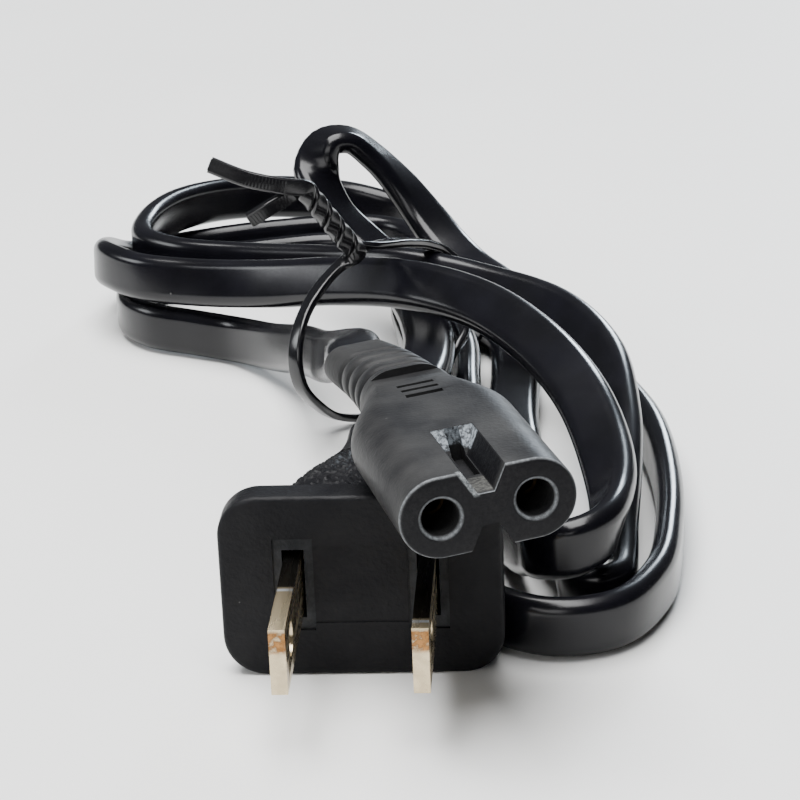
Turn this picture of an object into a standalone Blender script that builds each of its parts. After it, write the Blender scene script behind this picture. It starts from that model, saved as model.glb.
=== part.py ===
"""A figure-eight power cord, tied in a loose hank.

A flat two-core cord has a plug with two flat blades moulded on one end and a figure-eight connector
moulded on the other. The hank lies on the floor behind the plug, the connector lies on the top edge of
the plug's flange, and one twist tie holds the runs of cord together.

Lengths are in metres, +Z is up. The plug's face is the plane y = 0 with its blades toward -Y, its middle
is x = 0, and the floor is z = 0.
"""

import math

import bmesh
import bpy
from mathutils import Matrix, Vector

# Clearances
GAP = 0.0003                  # between pieces that touch
SLOT_CLEARANCE = 0.0003       # round a blade in the plug

# Plug: a flange with rounded corners and a grip that narrows to the neck where the cord enters
PLUG_WIDTH = 0.0268
PLUG_HEIGHT = 0.0183
PLUG_CORNER = 0.0040
FLANGE_DEPTH = 0.0036
FLANGE_EDGE = 0.0005
GRIP_WIDTH = 0.0200
GRIP_HEIGHT = 0.0164
GRIP_STEP = 0.00025           # the pebbled band stands this much lower than the plain ones
GRIP_START = 0.0052           # where the pebbled band starts, measured from the face
GRIP_END = 0.0265             # where it ends
GRIP_ROUNDNESS = 0.75         # corner radius as a share of the grip's half height
STEP_SLOPE = 0.0002           # the length of each small step in the plug's and the boot's sides
# How far along the pebbled band each ring is, and how far the grip has narrowed to the neck there
BAND_SHAPE = [(0.01, 0.03), (0.20, 0.10), (0.41, 0.24), (0.62, 0.42), (0.81, 0.60), (0.99, 0.77)]
# The same from the end of the band to the end of the neck
NECK_SHAPE = [(0.0, 0.77), (0.30, 0.90), (0.65, 0.98)]
PLUG_DEPTH = 0.0380           # from the face to the end of the neck
NECK_WIDTH = 0.0074
NECK_HEIGHT = 0.0046
NECK_EDGE = 0.0004

# Blades
BLADE_SPACING = 0.0127
BLADE_HEIGHT = 0.00635
BLADE_THICKNESS = 0.0015
BLADE_LENGTH = 0.0165
BLADE_ROOT = 0.0060           # the length inside the plug
BLADE_RISE = 0.00025          # how far the blades' middle is above the flange's middle
BLADE_TIP_CHAMFER = 0.0003
BLADE_HOLE = 0.0032
BLADE_HOLE_FROM_FACE = 0.0117
PAD_WIDTH = 0.0038            # shallow pocket round each blade
PAD_HEIGHT = 0.0094
PAD_DEPTH = 0.0003

# Connector: two lobes with a hole each, a notch above and below, a thumb recess and a ringed boot
LOBE_RADIUS = 0.00375
HOLE_SPACING = 0.0086
HOLE_DIAMETER = 0.0034
HOLE_DEPTH = 0.0130
HOLE_CHAMFER = 0.00042
FACE_EDGE = 0.00035
BODY_STRAIGHT = 0.0190        # the part of the body with parallel sides
BODY_LENGTH = 0.0310
BODY_END_WIDTH = 0.0098
BODY_END_EDGE = 0.0005
BODY_END_SLOPE = 0.0008
TAPER_STEPS = 8               # rings in the part of the body that narrows
BOOT_LENGTH = 0.0145
BOOT_START_SHARE = 0.94       # the boot starts this much narrower than the body's end
BOOT_START = 0.0003
BOOT_END_WIDTH = 0.0074
BOOT_END_HEIGHT = 0.0042
BOOT_BEND = 0.0018            # the cord pulls the boot's end this far to the left
RING_START = 0.0012           # from the start of the boot to its first groove
RING_COUNT = 4
RING_PITCH = 0.0026
RING_WIDTH = 0.0009
RING_DEPTH = 0.00035
NOTCH_LENGTH = 0.0120
NOTCH_MOUTH = 0.0040
NOTCH_FLOOR = 0.0015
NOTCH_DEPTH = 0.0023
THUMB_REAR_GAP = 0.0006       # from the recess's rear wall to the end of the body
THUMB_LENGTH = 0.0094         # recess for the thumb, deepest at its rear wall
THUMB_REAR_WIDTH = 0.0068
THUMB_FRONT_WIDTH = 0.0094
THUMB_DEPTH = 0.0008
SLOT_START = 0.0005           # from the front of the recess to the first slot
SLOT_COUNT = 3
SLOT_PITCH = 0.0020
SLOT_LENGTH = 0.0036
SLOT_WIDTH = 0.0008
SLOT_DEPTH = 0.0009
CONTACT_SETBACK = 0.0050      # from the face to the metal sleeves in the holes
CONTACT_LENGTH = 0.0070
CONTACT_OUTER = 0.0029
CONTACT_INNER = 0.0023

# Where the connector lies: the middle of its face, seen from above, and how it is turned
CONNECTOR_FACE_X = 0.0127
CONNECTOR_FACE_Y = -0.0151
CONNECTOR_YAW = math.radians(16)
CONNECTOR_PITCH = math.radians(-1.9)
CONNECTOR_ROLL = math.radians(-5)

# Cord
CORD_WIDTH = 0.0060
CORD_THICKNESS = 0.0029
CORD_STRAIGHT = 0.0020        # how far it runs straight out of the boot and out of the neck
CORD_TOLERANCE = 0.0006       # how far the drawn cord may cut inside the smooth route

# The cord's way from the connector to the plug: x, y and z of its middle, and its lean in degrees.
# A lean of 0 stands it on edge, and 90 lays it flat.
ROUTE = [
    (-0.0026, 0.0350, 0.0206, 80), (-0.0044, 0.0446, 0.0166, 35), (-0.0075, 0.0570, 0.0119, 12),
    (-0.0113, 0.0705, 0.0080, 5), (-0.0162, 0.0815, 0.0046, 2), (-0.0216, 0.0886, 0.0032, 0),
    (-0.0276, 0.0918, 0.0032, 0), (-0.0332, 0.0948, 0.0032, 0), (-0.0368, 0.0998, 0.0032, 0),
    (-0.0373, 0.1065, 0.0032, 0), (-0.0348, 0.1132, 0.0032, 0), (-0.0296, 0.1182, 0.0032, 0),
    (-0.0210, 0.1218, 0.0032, 0), (-0.0126, 0.1238, 0.0032, 0), (-0.0064, 0.1224, 0.0032, 0),
    (-0.0026, 0.1180, 0.0030, 25), (-0.0006, 0.1115, 0.0021, 70), (0.0018, 0.1055, 0.0016, 88),
    (0.0054, 0.1000, 0.0016, 88), (0.0102, 0.0950, 0.0016, 88), (0.0130, 0.0885, 0.0017, 88),
    (0.0136, 0.0780, 0.0017, 86), (0.0135, 0.0610, 0.0017, 86), (0.0149, 0.0450, 0.0017, 86),
    (0.0172, 0.0300, 0.0019, 78), (0.0189, 0.0205, 0.0027, 40), (0.0196, 0.0148, 0.0032, 10),
    (0.0202, 0.0118, 0.0032, 0), (0.0223, 0.0103, 0.0032, 0), (0.0244, 0.0118, 0.0032, 0),
    (0.0250, 0.0152, 0.0034, 0), (0.0251, 0.0210, 0.0044, 5), (0.0254, 0.0300, 0.0068, 20),
    (0.0252, 0.0410, 0.0096, 40), (0.0236, 0.0550, 0.0120, 45), (0.0183, 0.0675, 0.0132, 42),
    (0.0096, 0.0765, 0.0134, 40), (0.0000, 0.0825, 0.0137, 33), (-0.0100, 0.0895, 0.0120, 15),
    (-0.0210, 0.0960, 0.0106, 8), (-0.0300, 0.1006, 0.0101, 5), (-0.0352, 0.1065, 0.0100, 0),
    (-0.0358, 0.1145, 0.0100, 0), (-0.0334, 0.1235, 0.0099, 0), (-0.0280, 0.1324, 0.0088, 0),
    (-0.0200, 0.1388, 0.0072, 0), (-0.0105, 0.1418, 0.0052, 0), (-0.0030, 0.1394, 0.0036, 0),
    (0.0010, 0.1344, 0.0033, 0), (0.0037, 0.1270, 0.0032, 0), (0.0060, 0.1175, 0.0033, 5),
    (0.0079, 0.1100, 0.0037, 25), (0.0090, 0.1040, 0.0048, 78), (0.0084, 0.0980, 0.0050, 88),
    (0.0074, 0.0925, 0.0050, 78), (0.0069, 0.0865, 0.0041, 20), (0.0078, 0.0790, 0.0032, 0),
    (0.0082, 0.0680, 0.0032, 0), (0.0089, 0.0540, 0.0032, 0), (0.0105, 0.0400, 0.0032, 0),
    (0.0128, 0.0270, 0.0034, 0), (0.0148, 0.0172, 0.0056, 0), (0.0159, 0.0124, 0.0076, 0),
    (0.0170, 0.0088, 0.0088, 0), (0.0199, 0.0072, 0.0096, 0), (0.0228, 0.0094, 0.0102, 8),
    (0.0240, 0.0170, 0.0108, 35), (0.0234, 0.0260, 0.0124, 58), (0.0212, 0.0360, 0.0146, 62),
    (0.0168, 0.0475, 0.0162, 58), (0.0102, 0.0590, 0.0170, 50), (0.0020, 0.0680, 0.0166, 38),
    (-0.0070, 0.0770, 0.0144, 28), (-0.0170, 0.0852, 0.0116, 22), (-0.0270, 0.0914, 0.0100, 16),
    (-0.0344, 0.0956, 0.0096, 10), (-0.0394, 0.1016, 0.0094, 5), (-0.0407, 0.1095, 0.0076, 0),
    (-0.0390, 0.1180, 0.0044, 0), (-0.0334, 0.1254, 0.0032, 0), (-0.0240, 0.1296, 0.0032, 0),
    (-0.0130, 0.1322, 0.0032, 0), (-0.0056, 0.1314, 0.0032, 0), (-0.0012, 0.1274, 0.0032, 0),
    (0.0013, 0.1200, 0.0034, 10), (0.0022, 0.1120, 0.0043, 50), (0.0020, 0.1050, 0.0050, 86),
    (0.0010, 0.0980, 0.0049, 70), (0.0000, 0.0900, 0.0044, 25), (0.0009, 0.0800, 0.0044, 0),
    (0.0032, 0.0680, 0.0044, 0), (0.0045, 0.0540, 0.0038, 0), (0.0059, 0.0410, 0.0032, 0),
    (0.0076, 0.0280, 0.0032, 0), (0.0090, 0.0150, 0.0032, 0), (0.0124, 0.0066, 0.0032, 0),
    (0.0180, 0.0032, 0.0032, 0), (0.0240, 0.0048, 0.0032, 0), (0.0282, 0.0124, 0.0032, 0),
    (0.0300, 0.0250, 0.0032, 0), (0.0303, 0.0400, 0.0032, 0), (0.0290, 0.0540, 0.0032, 5),
    (0.0258, 0.0660, 0.0033, 8), (0.0218, 0.0750, 0.0039, 15), (0.0178, 0.0820, 0.0058, 35),
    (0.0138, 0.0880, 0.0074, 60), (0.0106, 0.0932, 0.0085, 75), (0.0074, 0.0988, 0.0092, 82),
    (0.0044, 0.1034, 0.0110, 86), (0.0016, 0.1066, 0.0138, 88), (-0.0016, 0.1084, 0.0176, 88),
    (-0.0048, 0.1088, 0.0210, 88), (-0.0080, 0.1084, 0.0235, 88), (-0.0108, 0.1072, 0.0234, 88),
    (-0.0120, 0.1054, 0.0204, 88), (-0.0102, 0.1030, 0.0164, 88), (-0.0064, 0.1006, 0.0128, 88),
    (-0.0026, 0.0970, 0.0103, 88), (0.0000, 0.0910, 0.0095, 88), (0.0014, 0.0835, 0.0092, 88),
    (0.0028, 0.0760, 0.0093, 88), (0.0038, 0.0660, 0.0096, 88), (0.0032, 0.0555, 0.0096, 88),
    (0.0010, 0.0470, 0.0095, 88),
]

# Twist tie: a ribbon whose ends are twisted together above the hank
TIE_WIDTH = 0.0019
TIE_THICKNESS = 0.0009
TWIST_BOTTOM = (-0.0045, 0.0680, 0.0209)
TWIST_TOP = (-0.0097, 0.0640, 0.0298)
TWIST_TURNS = 3
TWIST_STEPS = 10              # points in each turn
BUNDLE_MIDDLE = (-0.0020, 0.0710, 0.0100)
# The way round the bundle, from the bottom of the twist down the left side and up the right
TIE_LOOP = [
    (-0.0063, 0.0674, 0.0194), (-0.0092, 0.0652, 0.0166), (-0.0109, 0.0615, 0.0136),
    (-0.0113, 0.0597, 0.0104), (-0.0108, 0.0597, 0.0074), (-0.0093, 0.0616, 0.0044),
    (-0.0072, 0.0644, 0.0018), (-0.0040, 0.0668, 0.0007), (0.0005, 0.0688, 0.0006),
    (0.0043, 0.0698, 0.0008), (0.0056, 0.0701, 0.0026), (0.0057, 0.0702, 0.0052),
    (0.0065, 0.0708, 0.0072), (0.0076, 0.0728, 0.0084), (0.0082, 0.0774, 0.0093),
    (0.0084, 0.0812, 0.0107), (0.0074, 0.0829, 0.0132), (0.0052, 0.0832, 0.0158),
    (0.0030, 0.0806, 0.0177), (0.0008, 0.0766, 0.0192), (-0.0018, 0.0720, 0.0204),
]
# The two tails, from the top of the twist to the tip
TIE_TAIL_LONG = [(-0.0121, 0.0624, 0.0306), (-0.0161, 0.0620, 0.0317), (-0.0200, 0.0620, 0.0334)]
TIE_TAIL_SHORT = [(-0.0114, 0.0632, 0.0291), (-0.0135, 0.0622, 0.0281), (-0.0158, 0.0620, 0.0268)]


def clear_scene():
    for obj in list(bpy.data.objects):
        bpy.data.objects.remove(obj, do_unlink=True)


def material(name, colour, roughness, metallic=0.0):
    mat = bpy.data.materials.new(name)
    mat.use_nodes = True
    shader = mat.node_tree.nodes["Principled BSDF"]
    shader.inputs["Base Color"].default_value = (*colour, 1.0)
    shader.inputs["Roughness"].default_value = roughness
    shader.inputs["Metallic"].default_value = metallic
    return mat


def add_object(name, mesh, mat=None):
    obj = bpy.data.objects.new(name, mesh)
    bpy.context.scene.collection.objects.link(obj)
    if mat:
        mesh.materials.append(mat)
    return obj


def loft(name, rings, mat=None):
    """A closed solid through rings of points, which all have the same count."""
    shape = bmesh.new()
    rows = [[shape.verts.new(point) for point in ring] for ring in rings]
    for row, following in zip(rows, rows[1:]):
        for i in range(len(row)):
            j = (i + 1) % len(row)
            shape.faces.new((row[i], row[j], following[j], following[i]))
    shape.faces.new(rows[0])
    shape.faces.new(rows[-1])
    bmesh.ops.recalc_face_normals(shape, faces=shape.faces)
    mesh = bpy.data.meshes.new(name)
    shape.to_mesh(mesh)
    shape.free()
    mesh.shade_smooth()
    mesh.set_sharp_from_angle(angle=math.radians(35))
    return add_object(name, mesh, mat)


def rounded_ring(y, half_width, half_height, radius, shift=0.0, steps=6):
    """A rectangle with round corners in the plane at y, its middle at x = shift."""
    radius = min(radius, 0.998 * half_width, 0.998 * half_height)
    points = []
    for quarter, (side, level) in enumerate(((1, 1), (-1, 1), (-1, -1), (1, -1))):
        for step in range(steps + 1):
            turn = math.radians(90 * (quarter + step / steps))
            x = side * (half_width - radius) + radius * math.cos(turn)
            z = level * (half_height - radius) + radius * math.sin(turn)
            points.append(Vector((x + shift, y, z)))
    return points


def prism(name, outline, start, end):
    """A solid with this outline of (x, z) points, running from y = start to y = end."""
    rings = [[Vector((x, y, z)) for x, z in outline] for y in (start, end)]
    return loft(name, rings)


def cylinder(name, radius, start, end, x=0.0, sides=28, end_radius=None):
    """A cylinder or cone along Y."""
    rings = []
    for y, r in ((start, radius), (end, end_radius or radius)):
        turns = [2 * math.pi * i / sides for i in range(sides)]
        rings.append([Vector((x + r * math.cos(a), y, r * math.sin(a))) for a in turns])
    return loft(name, rings)


def cut(target, cutter):
    cutter.hide_render = True
    cutter.display_type = "WIRE"
    cutter.parent = target
    modifier = target.modifiers.new(cutter.name, "BOOLEAN")
    modifier.operation = "DIFFERENCE"
    modifier.solver = "EXACT"
    modifier.object = cutter


def smooth_route(points, step):
    """A centripetal Catmull-Rom curve through the points, sampled about every step."""
    first = [2 * a - b for a, b in zip(points[0], points[1])]
    last = [2 * a - b for a, b in zip(points[-1], points[-2])]
    p = [first, *points, last]
    knots = [0.0]
    for a, b in zip(p, p[1:]):
        knots.append(knots[-1] + math.sqrt(math.dist(a[:3], b[:3])))
    sampled = []
    for i in range(1, len(p) - 2):
        k = knots[i - 1 : i + 3]
        count = max(2, math.ceil(math.dist(p[i][:3], p[i + 1][:3]) / step))
        for j in range(count):
            t = k[1] + (k[2] - k[1]) * j / count
            a = [blend(p[i - 1 + m], p[i + m], k[m], k[m + 1], t) for m in range(3)]
            b = [blend(a[m], a[m + 1], k[m], k[m + 2], t) for m in range(2)]
            sampled.append(blend(b[0], b[1], k[1], k[2], t))
    sampled.append(list(points[-1]))
    return sampled


def blend(a, b, start, end, t):
    share = (t - start) / (end - start)
    return [u + (v - u) * share for u, v in zip(a, b)]


def thinned(points, tolerance):
    """The fewest of the points whose straight joins stay within tolerance of the rest."""
    kept = [points[0]]
    start = 0
    while start < len(points) - 1:
        end = start + 1
        while end + 1 < len(points) and stays_near(points, start, end + 1, tolerance):
            end += 1
        kept.append(points[end])
        start = end
    return kept


def stays_near(points, start, end, tolerance):
    a = Vector(points[start][:3])
    along = Vector(points[end][:3]) - a
    for point in points[start + 1 : end]:
        offset = Vector(point[:3]) - a
        if (offset - along * (offset.dot(along) / along.length_squared)).length > tolerance:
            return False
    return True


def plug_body(mat):
    half_width = PLUG_WIDTH / 2
    half_height = PLUG_HEIGHT / 2
    grip_width = GRIP_WIDTH / 2
    grip_height = GRIP_HEIGHT / 2
    neck_width = NECK_WIDTH / 2
    neck_height = NECK_HEIGHT / 2
    edge = FLANGE_EDGE

    def flange(y, inset):
        return rounded_ring(y, half_width - inset, half_height - inset, PLUG_CORNER - inset)

    def grip(y, share, inset=0.0):
        """A ring of the grip, share of the way from its root to the neck."""
        width = grip_width + (neck_width - grip_width) * share - inset
        height = grip_height + (neck_height - grip_height) * share - inset
        return rounded_ring(y, width, height, min(width, height) * GRIP_ROUNDNESS)

    rings = [
        flange(0.0, edge),
        flange(edge * 0.3, edge * 0.3),
        flange(edge, 0.0),
        flange(FLANGE_DEPTH - edge, 0.0),
        flange(FLANGE_DEPTH - edge * 0.3, edge * 0.3),
        flange(FLANGE_DEPTH, edge),
        grip(FLANGE_DEPTH + STEP_SLOPE, 0.0),
        grip(GRIP_START, BAND_SHAPE[0][1]),
    ]
    for along, share in BAND_SHAPE:
        rings.append(grip(GRIP_START + (GRIP_END - GRIP_START) * along, share, GRIP_STEP))
    for along, share in NECK_SHAPE:
        rings.append(grip(GRIP_END + (PLUG_DEPTH - GRIP_END) * along, share))
    rings.append(grip(PLUG_DEPTH - NECK_EDGE, 1.0))
    rings.append(grip(PLUG_DEPTH, 1.0, NECK_EDGE))
    body = loft("plug_body", rings, mat)
    body.location.z = half_height
    for name, side in (("left", -1), ("right", 1)):
        x = side * BLADE_SPACING / 2
        pad = rectangle(PAD_WIDTH, PAD_HEIGHT, x, BLADE_RISE)
        cut(body, prism("pad_cutter_" + name, pad, -GAP, PAD_DEPTH))
        slot_width = BLADE_THICKNESS + 2 * SLOT_CLEARANCE
        slot = rectangle(slot_width, BLADE_HEIGHT + 2 * SLOT_CLEARANCE, x, BLADE_RISE)
        cut(body, prism("slot_cutter_" + name, slot, -GAP, BLADE_ROOT + SLOT_CLEARANCE))
    return body


def rectangle(width, height, x=0.0, z=0.0):
    return [
        (x - width / 2, z - height / 2),
        (x + width / 2, z - height / 2),
        (x + width / 2, z + height / 2),
        (x - width / 2, z + height / 2),
    ]


def blade(name, side, mat):
    width = BLADE_THICKNESS / 2
    height = BLADE_HEIGHT / 2
    chamfer = BLADE_TIP_CHAMFER
    rings = []
    for y, inset in ((-BLADE_LENGTH, chamfer), (-BLADE_LENGTH + chamfer, 0.0), (BLADE_ROOT, 0.0)):
        outline = rectangle(2 * (width - inset), 2 * (height - inset))
        rings.append([Vector((x, y, z)) for x, z in outline])
    metal = loft(name, rings, mat)
    metal.location = (side * BLADE_SPACING / 2, 0, PLUG_HEIGHT / 2 + BLADE_RISE)
    drill = cylinder(name + "_hole_cutter", BLADE_HOLE / 2, -BLADE_THICKNESS, BLADE_THICKNESS)
    drill.location.y = -BLADE_HOLE_FROM_FACE
    drill.rotation_euler.z = math.radians(90)
    cut(metal, drill)
    return metal


def connector_mount():
    """An empty at the middle of the connector's face, whose +Y runs back along the connector."""
    lowest_lobe = HOLE_SPACING / 2 * math.sin(-CONNECTOR_ROLL) + LOBE_RADIUS / math.cos(CONNECTOR_PITCH)
    rise = math.tan(-CONNECTOR_PITCH) * (-CONNECTOR_FACE_Y) / math.cos(CONNECTOR_YAW)
    mount = bpy.data.objects.new("connector_place", None)
    bpy.context.scene.collection.objects.link(mount)
    mount.location = (CONNECTOR_FACE_X, CONNECTOR_FACE_Y, PLUG_HEIGHT + GAP + lowest_lobe + rise)
    mount.rotation_mode = "YXZ"
    mount.rotation_euler = (CONNECTOR_PITCH, CONNECTOR_ROLL, CONNECTOR_YAW)
    bpy.context.view_layer.update()
    return mount


def connector_body(mat):
    straight_width = HOLE_SPACING / 2 + LOBE_RADIUS
    end_width = BODY_END_WIDTH / 2
    boot_start = (end_width * BOOT_START_SHARE, LOBE_RADIUS * BOOT_START_SHARE)
    boot_end = (BOOT_END_WIDTH / 2, BOOT_END_HEIGHT / 2)
    total = BODY_LENGTH + BOOT_LENGTH

    def body_ring(y, width, height, shift=0.0):
        return rounded_ring(y, width, height, height, shift)

    def boot_ring(y, inset=0.0):
        share = (y - BODY_LENGTH) / BOOT_LENGTH
        width, height = (a + (b - a) * share - inset for a, b in zip(boot_start, boot_end))
        return rounded_ring(y, width, height, height, -BOOT_BEND * share**2)

    rings = [
        body_ring(0.0, straight_width - FACE_EDGE, LOBE_RADIUS - FACE_EDGE),
        body_ring(FACE_EDGE * 0.3, straight_width - FACE_EDGE * 0.3, LOBE_RADIUS - FACE_EDGE * 0.3),
        body_ring(FACE_EDGE, straight_width, LOBE_RADIUS),
    ]
    taper_length = BODY_LENGTH - BODY_END_SLOPE - BODY_STRAIGHT
    for step in range(TAPER_STEPS + 1):
        share = step / TAPER_STEPS
        y = BODY_STRAIGHT + taper_length * share
        ease = (1 - math.cos(math.pi * share)) / 2
        rings.append(body_ring(y, straight_width + (end_width - straight_width) * ease, LOBE_RADIUS))
    rings.append(body_ring(BODY_LENGTH, end_width - BODY_END_EDGE, LOBE_RADIUS - BODY_END_EDGE))
    rings.append(boot_ring(BODY_LENGTH + BOOT_START))
    for ring in range(RING_COUNT):
        y = BODY_LENGTH + RING_START + ring * RING_PITCH
        rings.append(boot_ring(y))
        rings.append(boot_ring(y + STEP_SLOPE, RING_DEPTH))
        rings.append(boot_ring(y + RING_WIDTH - STEP_SLOPE, RING_DEPTH))
        rings.append(boot_ring(y + RING_WIDTH))
    rings.append(boot_ring(total - NECK_EDGE))
    rings.append(boot_ring(total, NECK_EDGE))
    body = loft("connector_body", rings, mat)

    for name, side in (("left", -1), ("right", 1)):
        x = side * HOLE_SPACING / 2
        hole = HOLE_DIAMETER / 2
        cut(body, cylinder("hole_cutter_" + name, hole, -GAP, HOLE_DEPTH, x))
        wide = hole + HOLE_CHAMFER + GAP
        mouth = cylinder("mouth_cutter_" + name, wide, -GAP, HOLE_CHAMFER + GAP, x, end_radius=hole - GAP)
        cut(body, mouth)
    for name, side in (("top", 1), ("bottom", -1)):
        beyond = LOBE_RADIUS + GAP
        floor = LOBE_RADIUS - NOTCH_DEPTH
        flare = (NOTCH_MOUTH - NOTCH_FLOOR) / 2 * (beyond - floor) / NOTCH_DEPTH
        outline = [
            (-NOTCH_FLOOR / 2, side * floor),
            (NOTCH_FLOOR / 2, side * floor),
            (NOTCH_FLOOR / 2 + flare, side * beyond),
            (-NOTCH_FLOOR / 2 - flare, side * beyond),
        ]
        cut(body, prism("notch_cutter_" + name, outline, -GAP, NOTCH_LENGTH))
    cut(body, thumb_cutter())
    first_slot = BODY_LENGTH - THUMB_REAR_GAP - THUMB_LENGTH + SLOT_START
    for slot in range(SLOT_COUNT):
        y = first_slot + slot * SLOT_PITCH
        bottom = LOBE_RADIUS - SLOT_DEPTH
        outline = rectangle(SLOT_LENGTH, 2 * SLOT_DEPTH, 0.0, bottom + SLOT_DEPTH)
        cut(body, prism("thumb_slot_cutter_%d" % slot, outline, y, y + SLOT_WIDTH))
    return body


def thumb_cutter():
    """A wedge that is deepest at its rear wall and runs out at the front."""
    rear = BODY_LENGTH - THUMB_REAR_GAP
    front = rear - THUMB_LENGTH
    above = LOBE_RADIUS + GAP
    rings = []
    for y, width, depth in ((front, THUMB_FRONT_WIDTH, -GAP / 2), (rear, THUMB_REAR_WIDTH, THUMB_DEPTH)):
        bottom = LOBE_RADIUS - depth
        outline = [
            (-width / 2, bottom),
            (width / 2, bottom),
            (width / 2, above),
            (-width / 2, above),
        ]
        rings.append([Vector((x, y, z)) for x, z in outline])
    return loft("thumb_cutter", rings)


def socket_contact(name, side, mat):
    x = side * HOLE_SPACING / 2
    end = CONTACT_SETBACK + CONTACT_LENGTH
    sleeve = cylinder(name, CONTACT_OUTER / 2, CONTACT_SETBACK, end, x)
    sleeve.data.materials.append(mat)
    bore = cylinder(name + "_bore_cutter", CONTACT_INNER / 2, CONTACT_SETBACK - GAP, end + GAP, x)
    cut(sleeve, bore)
    return sleeve


def cord_points(connector):
    """The cord's points from the boot to the plug's neck, each with its lean."""
    boot_end = Vector((-BOOT_BEND, BODY_LENGTH + BOOT_LENGTH + GAP, 0))
    neck_end = Vector((0, PLUG_DEPTH + GAP, PLUG_HEIGHT / 2))
    straight = Vector((0, CORD_STRAIGHT, 0))
    place = connector.matrix_world
    route = [
        (*(place @ boot_end), 90),
        (*(place @ (boot_end + straight)), 90),
        *ROUTE,
        (*(neck_end + straight), 90),
        (*neck_end, 90),
    ]
    free = smooth_route(route[1:-1], CORD_THICKNESS / 3)
    return [route[0], *thinned(free, CORD_TOLERANCE), route[-1]]


def power_cord(points, mat):
    curve = bpy.data.curves.new("power_cord", "CURVE")
    curve.dimensions = "3D"
    curve.twist_mode = "Z_UP"
    curve.fill_mode = "FULL"
    curve.bevel_depth = CORD_THICKNESS / 2
    curve.bevel_resolution = 2
    curve.extrude = (CORD_WIDTH - CORD_THICKNESS) / 2
    curve.use_fill_caps = True
    spline = curve.splines.new("POLY")
    spline.points.add(len(points) - 1)
    for point, (x, y, z, lean) in zip(spline.points, points):
        point.co = (x, y, z, 1)
        point.tilt = math.radians(lean)
    curve.materials.append(mat)
    cord = bpy.data.objects.new("power_cord", curve)
    bpy.context.scene.collection.objects.link(cord)
    return cord


def tie_path():
    """Points along the tie, each with the direction that its flat side faces."""
    bottom = Vector(TWIST_BOTTOM)
    top = Vector(TWIST_TOP)
    axis = (top - bottom).normalized()
    across = axis.cross(Vector((0, 0, 1))).normalized()
    apart = (TIE_THICKNESS + GAP) / 2
    steps = TWIST_TURNS * TWIST_STEPS

    def strand(side):
        found = []
        for step in range(steps + 1):
            turn = Matrix.Rotation(2 * math.pi * TWIST_TURNS * step / steps, 3, axis)
            outward = side * (turn @ across)
            found.append((bottom.lerp(top, step / steps) + apart * outward, outward))
        return found

    def outward_from_bundle(point):
        return (Vector(point) - Vector(BUNDLE_MIDDLE)).normalized()

    loop = [(Vector(point), outward_from_bundle(point)) for point in TIE_LOOP]
    left, right = strand(-1), strand(1)
    long_tail = [(Vector(point), left[-1][1]) for point in TIE_TAIL_LONG]
    short_tail = [(Vector(point), right[-1][1]) for point in TIE_TAIL_SHORT]
    return long_tail[::-1] + left[::-1] + loop + right + short_tail


def twist_tie(mat):
    path = [(*point, *facing) for point, facing in tie_path()]
    path = thinned(smooth_route(path, TIE_THICKNESS), TIE_THICKNESS / 9)
    rings = []
    for i, point in enumerate(path):
        before = Vector(path[max(i - 1, 0)][:3])
        after = Vector(path[min(i + 1, len(path) - 1)][:3])
        along = (after - before).normalized()
        facing = Vector(point[3:])
        facing = (facing - facing.dot(along) * along).normalized()
        side = along.cross(facing)
        rings.append(
            [
                Vector(point[:3]) + side * u * TIE_WIDTH / 2 + facing * v * TIE_THICKNESS / 2
                for u, v in ((-1, -0.6), (-0.7, -1), (0.7, -1), (1, -0.6), (1, 0.6), (0.7, 1), (-0.7, 1), (-1, 0.6))
            ]
        )
    return loft("twist_tie", rings, mat)


def main():
    clear_scene()
    plug_plastic = material("plug_plastic", (0.012, 0.012, 0.014), 0.55)
    connector_plastic = material("connector_plastic", (0.035, 0.035, 0.038), 0.5)
    cord_plastic = material("cord_plastic", (0.008, 0.008, 0.010), 0.32)
    tie_plastic = material("tie_plastic", (0.010, 0.010, 0.010), 0.45)
    nickel = material("nickel", (0.72, 0.68, 0.60), 0.25, 1.0)
    brass = material("brass", (0.70, 0.50, 0.22), 0.3, 1.0)

    plug_body(plug_plastic)
    blade("blade_left", -1, nickel)
    blade("blade_right", 1, nickel)

    mount = connector_mount()
    for piece in (
        connector_body(connector_plastic),
        socket_contact("socket_contact_left", -1, brass),
        socket_contact("socket_contact_right", 1, brass),
    ):
        piece.parent = mount

    power_cord(cord_points(mount), cord_plastic)
    twist_tie(tie_plastic)


main()
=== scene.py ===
# %% [markdown]
# # A figure-eight power cord, step by step
#
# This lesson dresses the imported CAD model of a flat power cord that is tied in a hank. The CAD model
# gives the true sizes. Here every piece gets its fine shape and its material: the cord, the plug with
# its two blades, the figure-eight connector and the ribbed twist tie.
#
# The script starts by loading the CAD model as a fixed frame. Lengths are in metres, except in the lists
# of points for the cord and the tie, which are in millimetres. +Z is up, the plug's face is the plane
# y = 0 and the floor is z = 0.

import math

import bmesh
import bpy
from mathutils import Euler, Matrix, Vector


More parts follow.
